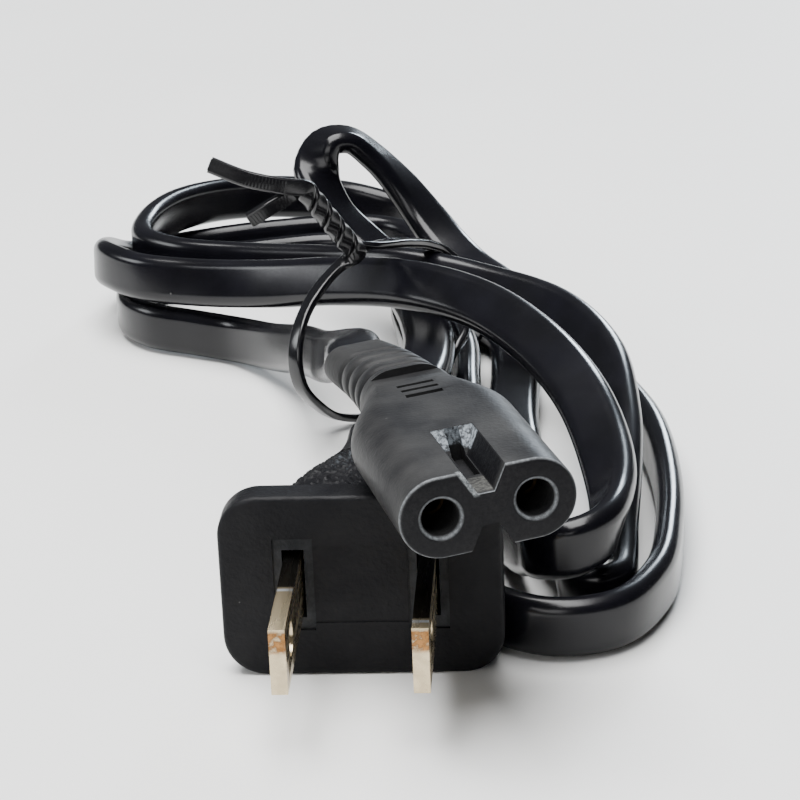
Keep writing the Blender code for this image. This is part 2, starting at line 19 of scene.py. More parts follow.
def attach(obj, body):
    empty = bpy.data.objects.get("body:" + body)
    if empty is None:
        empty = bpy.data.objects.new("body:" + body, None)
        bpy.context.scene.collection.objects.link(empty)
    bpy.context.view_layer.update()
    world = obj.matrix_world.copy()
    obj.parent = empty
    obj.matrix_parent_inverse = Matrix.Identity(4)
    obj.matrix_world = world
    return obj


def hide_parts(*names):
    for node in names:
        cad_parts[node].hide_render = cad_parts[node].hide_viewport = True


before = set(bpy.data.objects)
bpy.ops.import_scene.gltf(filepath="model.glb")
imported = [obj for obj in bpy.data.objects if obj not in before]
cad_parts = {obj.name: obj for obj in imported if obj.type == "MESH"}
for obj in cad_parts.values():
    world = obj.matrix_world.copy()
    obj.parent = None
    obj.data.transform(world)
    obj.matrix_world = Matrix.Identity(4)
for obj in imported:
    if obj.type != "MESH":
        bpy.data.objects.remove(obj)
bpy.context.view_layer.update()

# %% [markdown]
# # Sizes
#
# The sizes repeat those of the CAD model, so that each visible piece covers its solid. Only fine shapes
# differ: the grain of the grip, the end of the connector's notch, and the twist of the tie. Sizes that
# only the looks need come with the piece that uses them.

# %% Sizes shared with the CAD model
GAP = 0.0003

PLUG_WIDTH = 0.0268
PLUG_HEIGHT = 0.0183
PLUG_CORNER = 0.0040
FLANGE_DEPTH = 0.0036
FLANGE_EDGE = 0.0005
GRIP_WIDTH = 0.0200
GRIP_HEIGHT = 0.0164
GRIP_STEP = 0.00025
GRIP_START = 0.0052
GRIP_END = 0.0265
GRIP_ROUNDNESS = 0.75
STEP_SLOPE = 0.0002
BAND_SHAPE = [(0.01, 0.03), (0.20, 0.10), (0.41, 0.24), (0.62, 0.42), (0.81, 0.60), (0.99, 0.77)]
NECK_SHAPE = [(0.0, 0.77), (0.30, 0.90), (0.65, 0.98)]
PLUG_DEPTH = 0.0380
NECK_WIDTH = 0.0074
NECK_HEIGHT = 0.0046
NECK_EDGE = 0.0004

BLADE_SPACING = 0.0127
BLADE_HEIGHT = 0.00635
BLADE_THICKNESS = 0.0015
BLADE_LENGTH = 0.0165
BLADE_ROOT = 0.0060
BLADE_RISE = 0.00025
BLADE_MIDDLE = PLUG_HEIGHT / 2 + BLADE_RISE
BLADE_HOLE = 0.0032
BLADE_HOLE_FROM_FACE = 0.0117
SLOT_CLEARANCE = 0.0003
PAD_WIDTH = 0.0038
PAD_HEIGHT = 0.0094
PAD_DEPTH = 0.0003

LOBE_RADIUS = 0.00375
HOLE_SPACING = 0.0086
HOLE_DIAMETER = 0.0034
HOLE_DEPTH = 0.0130
HOLE_CHAMFER = 0.00042
FACE_EDGE = 0.00035
BODY_STRAIGHT = 0.0190
BODY_LENGTH = 0.0310
BODY_END_WIDTH = 0.0098
BODY_END_EDGE = 0.0005
BODY_END_SLOPE = 0.0008
BOOT_START_SHARE = 0.94
BOOT_START = 0.0003
BOOT_LENGTH = 0.0145
BOOT_END_WIDTH = 0.0074
BOOT_END_HEIGHT = 0.0042
BOOT_BEND = 0.0018
RING_START = 0.0012
RING_COUNT = 4
RING_PITCH = 0.0026
RING_WIDTH = 0.0009
RING_DEPTH = 0.00035
NOTCH_LENGTH = 0.0120
NOTCH_MOUTH = 0.0040
NOTCH_FLOOR = 0.0015
NOTCH_DEPTH = 0.0023
THUMB_REAR_GAP = 0.0006
THUMB_LENGTH = 0.0094
THUMB_REAR_WIDTH = 0.0068
THUMB_FRONT_WIDTH = 0.0094
THUMB_DEPTH = 0.0008
SLOT_START = 0.0005
SLOT_COUNT = 3
SLOT_PITCH = 0.0020
SLOT_LENGTH = 0.0036
SLOT_WIDTH = 0.0008
SLOT_DEPTH = 0.0009

CONNECTOR_FACE_X = 0.0127
CONNECTOR_FACE_Y = -0.0151
CONNECTOR_YAW = math.radians(16)
CONNECTOR_PITCH = math.radians(-1.9)
CONNECTOR_ROLL = math.radians(-5)

CORD_WIDTH = 0.0060
CORD_THICKNESS = 0.0029
CORD_STRAIGHT = 0.0020

TIE_WIDTH = 0.0019
TIE_THICKNESS = 0.0009

# %% [markdown]
# # Tools for shapes and nodes
#
# A loft joins rings of points into a closed skin. A cutter takes a pocket or a hole out of a piece with
# a Boolean. The last step is always the same: the piece's modifiers are turned into a plain mesh,
# because the finished part holds plain meshes only.
#
# The helper called node adds one node to any tree. Its inputs are given by name, either as values or as
# sockets to link to, so a whole network reads like a list. The short helpers after it stand for the
# nodes that come up again and again.

# %% Tools for shapes and nodes
CORNER_STEPS = 16
CYLINDER_SIDES = 56
LOFT_SHARP_ANGLE = 35
SOFTEN_ANGLE = 40
SOCKET_TYPES = {float: "NodeSocketFloat", int: "NodeSocketInt", type(None): "NodeSocketMaterial"}


def add_object(name, data, mat=None):
    piece = bpy.data.objects.new(name, data)
    bpy.context.scene.collection.objects.link(piece)
    if mat:
        data.materials.append(mat)
    return piece


def loft(name, rings, mat=None):
    shape = bmesh.new()
    rows = [[shape.verts.new(point) for point in ring] for ring in rings]
    for row, following in zip(rows, rows[1:]):
        for i in range(len(row)):
            j = (i + 1) % len(row)
            shape.faces.new((row[i], row[j], following[j], following[i]))
    shape.faces.new(rows[0])
    shape.faces.new(rows[-1])
    bmesh.ops.recalc_face_normals(shape, faces=shape.faces)
    mesh = bpy.data.meshes.new(name)
    shape.to_mesh(mesh)
    shape.free()
    mesh.shade_smooth()
    mesh.set_sharp_from_angle(angle=math.radians(LOFT_SHARP_ANGLE))
    return add_object(name, mesh, mat)


def quarter(steps):
    """How far a rounded edge has turned, (1 - cos, 1 - sin), at each step of its quarter turn."""
    turns = [math.radians(90 * step / steps) for step in range(steps + 1)]
    return [(1 - math.cos(turn), 1 - math.sin(turn)) for turn in turns]


def rounded_ring(y, half_width, half_height, radius, shift=0.0):
    """A rectangle with round corners in the plane at y, its middle at x = shift."""
    radius = min(radius, 0.998 * half_width, 0.998 * half_height)
    points = []
    for corner, (side, level) in enumerate(((1, 1), (-1, 1), (-1, -1), (1, -1))):
        for step in range(CORNER_STEPS + 1):
            turn = math.radians(90 * (corner + step / CORNER_STEPS))
            x = side * (half_width - radius) + radius * math.cos(turn)
            z = level * (half_height - radius) + radius * math.sin(turn)
            points.append(Vector((x + shift, y, z)))
    return points


def even_ring(ring, count):
    """The same outline with count points at even distances, starting at the middle of its right side."""
    middle = (ring[0] + ring[-1]) / 2
    outline = [middle, *ring, middle]
    lengths = [0.0]
    for a, b in zip(outline, outline[1:]):
        lengths.append(lengths[-1] + (b - a).length)
    found = []
    piece = 0
    for i in range(count):
        wanted = lengths[-1] * i / count
        while lengths[piece + 1] <= wanted:
            piece += 1
        share = (wanted - lengths[piece]) / (lengths[piece + 1] - lengths[piece])
        found.append(outline[piece].lerp(outline[piece + 1], share))
    return found


def rectangle(width, height, x=0.0, z=0.0):
    corners = ((-1, -1), (1, -1), (1, 1), (-1, 1))
    return [(x + side * width / 2, z + level * height / 2) for side, level in corners]


def in_plane(outline, y):
    return [Vector((x, y, z)) for x, z in outline]


def prism(name, outline, start, end):
    return loft(name, [in_plane(outline, start), in_plane(outline, end)])


def cylinder(name, radius, start, end, x=0.0, end_radius=None):
    turns = [2 * math.pi * i / CYLINDER_SIDES for i in range(CYLINDER_SIDES)]
    rings = []
    for y, r in ((start, radius), (end, end_radius or radius)):
        rings.append([Vector((x + r * math.cos(a), y, r * math.sin(a))) for a in turns])
    return loft(name, rings)


def cut(target, cutter):
    cutter.hide_render = True
    modifier = target.modifiers.new(cutter.name, "BOOLEAN")
    modifier.operation = "DIFFERENCE"
    modifier.solver = "MANIFOLD"
    modifier.object = cutter
    return cutter


def soften(piece, width):
    """Rounds the piece's edges by a small bevel, so that they catch the light."""
    modifier = piece.modifiers.new("soften", "BEVEL")
    modifier.width = width
    modifier.segments = 2
    modifier.limit_method = "ANGLE"
    modifier.angle_limit = math.radians(SOFTEN_ANGLE)


def finished(piece, cutters=(), smooth=35):
    """Turns the piece's modifiers into a plain mesh at the origin and removes its cutters."""
    bpy.context.view_layer.update()
    graph = bpy.context.evaluated_depsgraph_get()
    mesh = bpy.data.meshes.new_from_object(piece.evaluated_get(graph))
    mesh.transform(piece.matrix_world)
    mesh.name = piece.name
    piece.modifiers.clear()
    piece.data = mesh
    piece.matrix_world = Matrix.Identity(4)
    for cutter in cutters:
        bpy.data.objects.remove(cutter, do_unlink=True)
    if smooth:
        mesh.shade_smooth()
        mesh.set_sharp_from_angle(angle=math.radians(smooth))
    return piece


def node(tree, kind, inputs=None, **settings):
    made = tree.nodes.new(kind)
    for key, value in settings.items():
        setattr(made, key, value)
    for key, value in (inputs or {}).items():
        if isinstance(value, bpy.types.NodeSocket):
            tree.links.new(value, made.inputs[key])
        else:
            made.inputs[key].default_value = value
    return made


def maths(tree, operation, first, second=0.0):
    return node(tree, "ShaderNodeMath", {0: first, 1: second}, operation=operation).outputs[0]


def both(tree, first, second):
    return maths(tree, "MULTIPLY", first, second)


def dot_product(tree, vector, direction):
    inputs = {0: vector, 1: direction}
    return node(tree, "ShaderNodeVectorMath", inputs, operation="DOT_PRODUCT").outputs["Value"]


def x_y_z(tree, vector):
    return tuple(node(tree, "ShaderNodeSeparateXYZ", {0: vector}).outputs)


def map_range(tree, value, low, high, start, end, **settings):
    inputs = {"Value": value, "From Min": low, "From Max": high, "To Min": start, "To Max": end}
    return node(tree, "ShaderNodeMapRange", inputs, **settings).outputs[0]


def geometry_group(name, defaults):
    """A node group with geometry in and out, its inputs named with their defaults: {name: value}."""
    group = bpy.data.node_groups.new(name, "GeometryNodeTree")
    for way in ("INPUT", "OUTPUT"):
        group.interface.new_socket("Geometry", in_out=way, socket_type="NodeSocketGeometry")
    for label, value in defaults.items():
        kind = SOCKET_TYPES[type(value)]
        socket = group.interface.new_socket(label, in_out="INPUT", socket_type=kind)
        if value is not None:
            socket.default_value = value
    return group, group.nodes.new("NodeGroupInput").outputs, group.nodes.new("NodeGroupOutput")


def stored_direction(group, name):
    made = node(group, "GeometryNodeInputNamedAttribute", {"Name": name}, data_type="FLOAT_VECTOR")
    return made.outputs["Attribute"]


def pass_out(group, end, geometry, mat):
    """Gives the geometry its material and ends the group with it."""
    coloured = node(group, "GeometryNodeSetMaterial", {"Geometry": geometry, "Material": mat})
    group.links.new(coloured.outputs["Geometry"], end.inputs["Geometry"])
    return group


def use_group(piece, group, values):
    """Adds the group to the piece as a modifier and sets its named inputs."""
    modifier = piece.modifiers.new(group.name, "NODES")
    modifier.node_group = group
    for item in group.interface.items_tree:
        if item.in_out == "INPUT" and item.name in values:
            modifier[item.identifier] = values[item.name]


# %% [markdown]
# # Camera and light
#
# The camera stands where the photographer stood, in front of the plug and a little to its right, looking
# down at the hank. A long lens at a short distance gives the same perspective.
#
# Black plastic shows little of its own colour. What one sees are reflections, so the room is dark and
# each lamp has its own task. The one overhead lights the floor and draws the pale rims on the cord, the
# tall one at the back draws the bluish streaks, and the ones on the left and in front soften the
# shadows.

# %% Camera and light
CAMERA_PLACE = (0.01925, -0.23115, 0.11443)
CAMERA_YAW = math.radians(-3.68)
CAMERA_PITCH = math.radians(20.5)
CAMERA_ROLL = math.radians(2.39)
LENS = 121.5
SENSOR_WIDTH = 36
NEAREST_SEEN = 0.01

# The room's colour goes from dark to bright toward one side, between these two shares of the way
BRIGHT_SIDE = (-0.15, 0.80, 0.58)
ROOM_COLOURS = ((0.05, (0.03, 0.03, 0.035)), (0.80, (0.90, 0.94, 1.0)))
ROOM_STRENGTH = 0.14


def camera_matrix():
    level_reach = math.cos(CAMERA_PITCH)
    forward = Vector(
        (math.sin(CAMERA_YAW) * level_reach, math.cos(CAMERA_YAW) * level_reach, -math.sin(CAMERA_PITCH))
    )
    level = Vector((math.cos(CAMERA_YAW), -math.sin(CAMERA_YAW), 0))
    down = forward.cross(level)
    right = math.cos(CAMERA_ROLL) * level + math.sin(CAMERA_ROLL) * down
    below = -math.sin(CAMERA_ROLL) * level + math.cos(CAMERA_ROLL) * down
    turned = Matrix((right, -below, -forward)).transposed().to_4x4()
    return Matrix.Translation(CAMERA_PLACE) @ turned


def add_camera():
    data = bpy.data.cameras.new("camera")
    data.lens = LENS
    data.sensor_width = SENSOR_WIDTH
    data.clip_start = NEAREST_SEEN
    camera = add_object("camera", data)
    camera.matrix_world = camera_matrix()
    bpy.context.scene.camera = camera


def add_area_light(name, place, target, size, power, colour=(1, 1, 1)):
    data = bpy.data.lights.new(name, "AREA")
    data.shape = "RECTANGLE"
    data.size, data.size_y = size
    data.energy = power
    data.color = colour
    light = add_object(name, data)
    light.location = place
    aim = Vector(target) - Vector(place)
    light.rotation_euler = aim.to_track_quat("-Z", "Y").to_euler()


def add_room():
    """A dim world that is brighter above and at the back."""
    world = bpy.data.worlds.new("room")
    bpy.context.scene.world = world
    world.use_nodes = True
    tree = world.node_tree
    toward = dot_product(tree, node(tree, "ShaderNodeTexCoord").outputs["Generated"], BRIGHT_SIDE)
    ramp = node(tree, "ShaderNodeValToRGB", {"Fac": toward})
    for i, (position, colour) in enumerate(ROOM_COLOURS):
        ramp.color_ramp.elements[i].position = position
        ramp.color_ramp.elements[i].color = (*colour, 1)
    background = tree.nodes["Background"]
    tree.links.new(ramp.outputs["Color"], background.inputs["Color"])
    background.inputs["Strength"].default_value = ROOM_STRENGTH


add_camera()
add_room()
add_area_light("window", (0.20, 0.78, 0.28), (0.0, 0.06, 0.0), (0.11, 0.26), 3.0, (0.80, 0.90, 1.0))
add_area_light("ceiling", (-0.10, 0.02, 0.80), (0.0, 0.05, 0.0), (0.90, 0.60), 24.0)
add_area_light("fill", (-0.25, -0.60, 0.35), (0.0, 0.0, 0.0), (0.60, 0.30), 2.2)
add_area_light("side", (-0.65, 0.10, 0.30), (0.0, 0.07, 0.01), (0.20, 0.20), 1.2, (0.95, 0.98, 1.0))

# %% [markdown]
# # Materials
#
# All the plastics share one recipe: a dark base colour that varies a little, a roughness that varies
# with a soft noise, a fine grain as bump, and a few specks of dust. The numbers make them differ. The
# cord is satin, the connector is greyer and matte, and the plug has the coarsest grain.
#
# The metal of the blades is bright nickel. Its plating has worn off on the upper part of the tips,
# where warm brass shows through. Next to the plug the upper faces get a painted dark reflection of the
# black plug face and the connector above, with a painted highlight line where it ends. So the recipe
# mixes its colours by the place on the blade.

# %% Materials
PATCH_SCALE = 160.0
WIPED_SCALE = 90.0
GRAIN_HEIGHT = 0.0001
DUST_SCALE = 330.0
DUST_COLOUR = (0.30, 0.30, 0.29)

BRUSH_SCALE = (900, 60, 900)
BRUSH_HEIGHT = 0.00005
BLOTCH_SCALE = 1400.0
NICKEL_COLOURS = ((0.62, 0.51, 0.33), (0.46, 0.38, 0.25))
BRASS_COLOURS = ((0.09, 0.035, 0.012), (0.32, 0.16, 0.06))
# Heights above the blade's middle where the worn spot comes in and ends, and how deep it reaches
WORN_START = (0.0007, 0.0011)
WORN_END = (0.0028, 0.0031)
WORN_DEPTH = (0.0001, 0.0003)
# The painted dark reflection reaches this far from the plug on the left blade and on the right one
DARK_REFLECTION_REACH = (0.50 * BLADE_LENGTH, 0.93 * BLADE_LENGTH)
# Colour of the painted dark reflection on the blades
DARK_REFLECTION_COLOUR = (0.010, 0.010, 0.011)
# Colour of the painted highlight line where the painted dark reflection ends
REFLECTION_EDGE_HIGHLIGHT_COLOUR = (0.90, 0.92, 0.93)


def new_material(name):
    mat = bpy.data.materials.new(name)
    mat.use_nodes = True
    tree = mat.node_tree
    where = node(tree, "ShaderNodeTexCoord").outputs["Object"]
    return mat, tree, tree.nodes["Principled BSDF"], where


def colour_mix(tree, share, first, second):
    made = node(tree, "ShaderNodeMix", {0: share}, data_type="RGBA")
    for index, value in ((6, first), (7, second)):
        if isinstance(value, bpy.types.NodeSocket):
            tree.links.new(value, made.inputs[index])
        else:
            made.inputs[index].default_value = (*value, 1)
    return made.outputs[2]


def noise(tree, where, scale, detail=3.0, rough=0.5):
    inputs = {"Vector": where, "Scale": scale, "Detail": detail, "Roughness": rough}
    return node(tree, "ShaderNodeTexNoise", inputs).outputs["Fac"]


def zone(tree, *spans):
    """1 where each value lies between its low and its high, with soft ends: (value, low, high, soft)."""
    mask = None
    for value, low, high, soft in spans:
        rise = map_range(tree, value, low - soft, low + soft, 0, 1)
        fall = map_range(tree, value, high - soft, high + soft, 1, 0)
        band = both(tree, rise, fall)
        mask = band if mask is None else both(tree, mask, band)
    return mask


def set_surface(tree, shader, colour, rough):
    tree.links.new(colour, shader.inputs["Base Color"])
    tree.links.new(rough, shader.inputs["Roughness"])


def add_bump(tree, shader, height, strength, distance):
    bump = node(tree, "ShaderNodeBump", {"Strength": strength, "Distance": distance, "Height": height})
    tree.links.new(bump.outputs["Normal"], shader.inputs["Normal"])


def paint_over(mat, layers):
    """Mixes each tint over the material's colour where its mask is 1: [(mask, tint), ...]."""
    tree = mat.node_tree
    base = tree.nodes["Principled BSDF"].inputs["Base Color"]
    colour = base.links[0].from_socket
    for mask, tint in layers:
        colour = colour_mix(tree, mask, colour, tint)
    tree.links.new(colour, base)


def plastic(name, dark, light, roughness, gloss, grain, grain_scale, specks):
    """A moulded plastic. roughness is its lowest and highest value, grain the strength of the bump."""
    mat, tree, shader, where = new_material(name)
    shader.inputs["Specular IOR Level"].default_value = gloss
    patches = map_range(tree, noise(tree, where, PATCH_SCALE), 0.35, 0.7, 0, 1)
    dots = node(tree, "ShaderNodeTexVoronoi", {"Vector": where, "Scale": DUST_SCALE})
    chance = node(tree, "ShaderNodeSeparateColor", {0: dots.outputs["Color"]}).outputs[0]
    here = map_range(tree, chance, 0.18, 0.20, specks, 0)
    dust = both(tree, here, map_range(tree, dots.outputs["Distance"], 0.015, 0.05, 1, 0))
    colour = colour_mix(tree, dust, colour_mix(tree, patches, dark, light), DUST_COLOUR)
    wiped = noise(tree, where, WIPED_SCALE, 4.0, 0.6)
    set_surface(tree, shader, colour, map_range(tree, wiped, 0.3, 0.7, *roughness))
    add_bump(tree, shader, noise(tree, where, grain_scale, 2.0), grain, GRAIN_HEIGHT)
    return mat


def nickel(name):
    """Plated metal, with brass at the worn tips, a painted dark reflection along the upper edges next to
    the plug, and a painted highlight line where that reflection ends.
    """
    mat, tree, shader, where = new_material(name)
    shader.inputs["Metallic"].default_value = 1.0
    stretched = node(tree, "ShaderNodeMapping", {"Vector": where, "Scale": BRUSH_SCALE}).outputs[0]
    brushed = noise(tree, stretched, 1.0, 4.0)
    plate = colour_mix(tree, map_range(tree, brushed, 0.3, 0.7, 0, 1), *NICKEL_COLOURS)
    blotches = noise(tree, where, BLOTCH_SCALE, 4.0, 0.65)
    brass = colour_mix(tree, map_range(tree, blotches, 0.4, 0.6, 0, 1), *BRASS_COLOURS)

    x, y, z = x_y_z(tree, where)
    worn = both(
        tree,
        map_range(tree, z, *(BLADE_MIDDLE + height for height in WORN_START), 0, 1),
        map_range(tree, z, *(BLADE_MIDDLE + height for height in WORN_END), 1, 0),
    )
    worn = both(tree, worn, map_range(tree, y, *(depth - BLADE_LENGTH for depth in WORN_DEPTH), 1, 0))
    worn = both(tree, worn, map_range(tree, blotches, 0.36, 0.5, 0.25, 1))
    plate = colour_mix(tree, worn, plate, brass)

    # Painted reflection: the upper faces near the plug are painted dark, for the black plug face and
    # connector that they mirror.
    reflection_start = map_range(tree, x, -0.001, 0.001, *(-reach for reach in DARK_REFLECTION_REACH))
    behind_start = maths(tree, "SUBTRACT", y, reflection_start)
    top = BLADE_MIDDLE + BLADE_HEIGHT / 2
    on_top = map_range(tree, z, top - 0.0005, top - 0.0001, 0, 1)
    dark_reflection = both(tree, on_top, map_range(tree, behind_start, 0.0007, 0.0010, 0, 0.94))
    plate = colour_mix(tree, dark_reflection, plate, DARK_REFLECTION_COLOUR)
    # Painted highlight: a bright line painted where the dark reflection ends.
    edge_highlight = both(tree, on_top, zone(tree, (behind_start, 0.0, 0.0005, 0.0001)))
    plate = colour_mix(tree, edge_highlight, plate, REFLECTION_EDGE_HIGHLIGHT_COLOUR)

    set_surface(tree, shader, plate, map_range(tree, brushed, 0.3, 0.7, 0.20, 0.34))
    add_bump(tree, shader, brushed, 0.15, BRUSH_HEIGHT)
    return mat


cord_jacket = plastic(
    "cord_jacket", (0.002, 0.002, 0.003), (0.004, 0.004, 0.006), (0.18, 0.27), 0.32, 0.05, 2600.0, 0.4
)
plug_plastic = plastic(
    "plug_plastic", (0.003, 0.003, 0.004), (0.008, 0.008, 0.009), (0.40, 0.56), 0.12, 0.9, 1900.0, 0.5
)
connector_plastic = plastic(
    "connector_plastic", (0.010, 0.010, 0.011), (0.030, 0.030, 0.030), (0.42, 0.58), 0.12, 0.4, 2400.0, 0.10
)
tie_plastic = plastic(
    "tie_plastic", (0.003, 0.003, 0.004), (0.006, 0.006, 0.007), (0.16, 0.26), 0.50, 0.06, 3000.0, 0.3
)
blade_nickel = nickel("blade_nickel")

# %% [markdown]
# ## The floor
#
# The floor is a large pale sheet just under the cord. A very soft noise in its colour and roughness
# keeps it from looking like a drawn plane.

# %% The floor
FLOOR_REACH = 4.0
FLOOR_LEVEL = -0.00005


def floor_material():
    mat, tree, shader, where = new_material("floor")
    patches = noise(tree, where, 9.0, 5.0)
    colour = colour_mix(tree, patches, (0.74, 0.74, 0.73), (0.80, 0.80, 0.79))
    set_surface(tree, shader, colour, map_range(tree, patches, 0.3, 0.7, 0.55, 0.65))
    return mat


def add_floor():
    mesh = bpy.data.meshes.new("floor")
    corners = [(x, y, FLOOR_LEVEL) for x, y in rectangle(2 * FLOOR_REACH, 2 * FLOOR_REACH)]
    mesh.from_pydata(corners, [], [(0, 1, 2, 3)])
    add_object("floor", mesh, floor_material())


add_floor()

# %% [markdown]
# # The cord
#
# The cord is one flat ribbon of constant section, so its route says everything: the middle line, and
# how the flat section leans on its way. A lean of 0 degrees stands the cord on edge, and 90 lays it
# flat. The points are the ones that the CAD model uses, in millimetres to keep the list short.
#
# A smooth curve goes through the points. Each sample of it stores the direction that the flat side
# faces. The Geometry Nodes group then makes a curve of the samples, turns the curve's normals to the
# stored directions, and sweeps a rounded section along it.

# %% The cord's route
# x, y and z of the middle in millimetres, and the lean in degrees, from the connector to the plug
ROUTE = [
    (-2.6, 35, 20.6, 80), (-4.4, 44.6, 16.6, 35), (-7.5, 57, 11.9, 12), (-11.3, 70.5, 8, 5),
    (-16.2, 81.5, 4.6, 2), (-21.6, 88.6, 3.2, 0), (-27.6, 91.8, 3.2, 0), (-33.2, 94.8, 3.2, 0),
    (-36.8, 99.8, 3.2, 0), (-37.3, 106.5, 3.2, 0), (-34.8, 113.2, 3.2, 0), (-29.6, 118.2, 3.2, 0),
    (-21, 121.8, 3.2, 0), (-12.6, 123.8, 3.2, 0), (-6.4, 122.4, 3.2, 0), (-2.6, 118, 3, 25),
    (-0.6, 111.5, 2.1, 70), (1.8, 105.5, 1.6, 88), (5.4, 100, 1.6, 88), (10.2, 95, 1.6, 88),
    (13, 88.5, 1.7, 88), (13.6, 78, 1.7, 86), (13.5, 61, 1.7, 86), (14.9, 45, 1.7, 86),
    (17.2, 30, 1.9, 78), (18.9, 20.5, 2.7, 40), (19.6, 14.8, 3.2, 10), (20.2, 11.8, 3.2, 0),
    (22.3, 10.3, 3.2, 0), (24.4, 11.8, 3.2, 0), (25, 15.2, 3.4, 0), (25.1, 21, 4.4, 5),
    (25.4, 30, 6.8, 20), (25.2, 41, 9.6, 40), (23.6, 55, 12, 45), (18.3, 67.5, 13.2, 42),
    (9.6, 76.5, 13.4, 40), (0, 82.5, 13.7, 33), (-10, 89.5, 12, 15), (-21, 96, 10.6, 8),
    (-30, 100.6, 10.1, 5), (-35.2, 106.5, 10, 0), (-35.8, 114.5, 10, 0), (-33.4, 123.5, 9.9, 0),
    (-28, 132.4, 8.8, 0), (-20, 138.8, 7.2, 0), (-10.5, 141.8, 5.2, 0), (-3, 139.4, 3.6, 0),
    (1, 134.4, 3.3, 0), (3.7, 127, 3.2, 0), (6, 117.5, 3.3, 5), (7.9, 110, 3.7, 25), (9, 104, 4.8, 78),
    (8.4, 98, 5, 88), (7.4, 92.5, 5, 78), (6.9, 86.5, 4.1, 20), (7.8, 79, 3.2, 0), (8.2, 68, 3.2, 0),
    (8.9, 54, 3.2, 0), (10.5, 40, 3.2, 0), (12.8, 27, 3.4, 0), (14.8, 17.2, 5.6, 0),
    (15.9, 12.4, 7.6, 0), (17, 8.8, 8.8, 0), (19.9, 7.2, 9.6, 0), (22.8, 9.4, 10.2, 8),
    (24, 17, 10.8, 35), (23.4, 26, 12.4, 58), (21.2, 36, 14.6, 62), (16.8, 47.5, 16.2, 58),
    (10.2, 59, 17, 50), (2, 68, 16.6, 38), (-7, 77, 14.4, 28), (-17, 85.2, 11.6, 22),
    (-27, 91.4, 10, 16), (-34.4, 95.6, 9.6, 10), (-39.4, 101.6, 9.4, 5), (-40.7, 109.5, 7.6, 0),
    (-39, 118, 4.4, 0), (-33.4, 125.4, 3.2, 0), (-24, 129.6, 3.2, 0), (-13, 132.2, 3.2, 0),
    (-5.6, 131.4, 3.2, 0), (-1.2, 127.4, 3.2, 0), (1.3, 120, 3.4, 10), (2.2, 112, 4.3, 50),
    (2, 105, 5, 86), (1, 98, 4.9, 70), (0, 90, 4.4, 25), (0.9, 80, 4.4, 0), (3.2, 68, 4.4, 0),
    (4.5, 54, 3.8, 0), (5.9, 41, 3.2, 0), (7.6, 28, 3.2, 0), (9, 15, 3.2, 0), (12.4, 6.6, 3.2, 0),
    (18, 3.2, 3.2, 0), (24, 4.8, 3.2, 0), (28.2, 12.4, 3.2, 0), (30, 25, 3.2, 0), (30.3, 40, 3.2, 0),
    (29, 54, 3.2, 5), (25.8, 66, 3.3, 8), (21.8, 75, 3.9, 15), (17.8, 82, 5.8, 35), (13.8, 88, 7.4, 60),
    (10.6, 93.2, 8.5, 75), (7.4, 98.8, 9.2, 82), (4.4, 103.4, 11, 86), (1.6, 106.6, 13.8, 88),
    (-1.6, 108.4, 17.6, 88), (-4.8, 108.8, 21, 88), (-8, 108.4, 23.5, 88), (-10.8, 107.2, 23.4, 88),
    (-12, 105.4, 20.4, 88), (-10.2, 103, 16.4, 88), (-6.4, 100.6, 12.8, 88), (-2.6, 97, 10.3, 88),
    (0, 91, 9.5, 88), (1.4, 83.5, 9.2, 88), (2.8, 76, 9.3, 88), (3.8, 66, 9.6, 88),
    (3.2, 55.5, 9.6, 88), (1, 47, 9.5, 88),
]


def blend(a, b, start, end, t):
    share = (t - start) / (end - start)
    return [u + (v - u) * share for u, v in zip(a, b)]


def smooth_route(points, step):
    """A centripetal Catmull-Rom curve through the points, sampled about every step."""
    first = [2 * a - b for a, b in zip(points[0], points[1])]
    last = [2 * a - b for a, b in zip(points[-1], points[-2])]
    p = [first, *points, last]
    knots = [0.0]
    for a, b in zip(p, p[1:]):
        knots.append(knots[-1] + math.sqrt(math.dist(a[:3], b[:3])))
    sampled = []
    for i in range(1, len(p) - 2):
        k = knots[i - 1 : i + 3]
        count = max(2, math.ceil(math.dist(p[i][:3], p[i + 1][:3]) / step))
        for j in range(count):
            t = k[1] + (k[2] - k[1]) * j / count
            a = [blend(p[i - 1 + m], p[i + m], k[m], k[m + 1], t) for m in range(3)]
            b = [blend(a[m], a[m + 1], k[m], k[m + 2], t) for m in range(2)]
            sampled.append(blend(b[0], b[1], k[1], k[2], t))
    sampled.append(list(points[-1]))
    return sampled


def connector_place():
    """Where the connector lies: its face's middle is the origin, and its +Y runs back along it."""
    lowest_lobe = HOLE_SPACING / 2 * math.sin(-CONNECTOR_ROLL) + LOBE_RADIUS / math.cos(CONNECTOR_PITCH)
    rise = math.tan(-CONNECTOR_PITCH) * (-CONNECTOR_FACE_Y) / math.cos(CONNECTOR_YAW)
    place = Vector((CONNECTOR_FACE_X, CONNECTOR_FACE_Y, PLUG_HEIGHT + GAP + lowest_lobe + rise))
    turned = Euler((CONNECTOR_PITCH, CONNECTOR_ROLL, CONNECTOR_YAW), "YXZ")
    return Matrix.Translation(place) @ turned.to_matrix().to_4x4()


def cord_points():
    boot_end = Vector((-BOOT_BEND, BODY_LENGTH + BOOT_LENGTH + GAP, 0))
    neck_end = Vector((0, PLUG_DEPTH + GAP, PLUG_HEIGHT / 2))
    straight = Vector((0, CORD_STRAIGHT, 0))
    place = connector_place()
    route = [
        (*(place @ (boot_end - straight / 2)), 90),
        (*(place @ boot_end), 90),
        (*(place @ (boot_end + straight)), 90),
        *((x / 1000, y / 1000, z / 1000, lean) for x, y, z, lean in ROUTE),
        (*(neck_end + straight), 90),
        (*neck_end, 90),
        (*(neck_end - straight / 2), 90),
    ]
    return smooth_route(route, CORD_THICKNESS / 3)


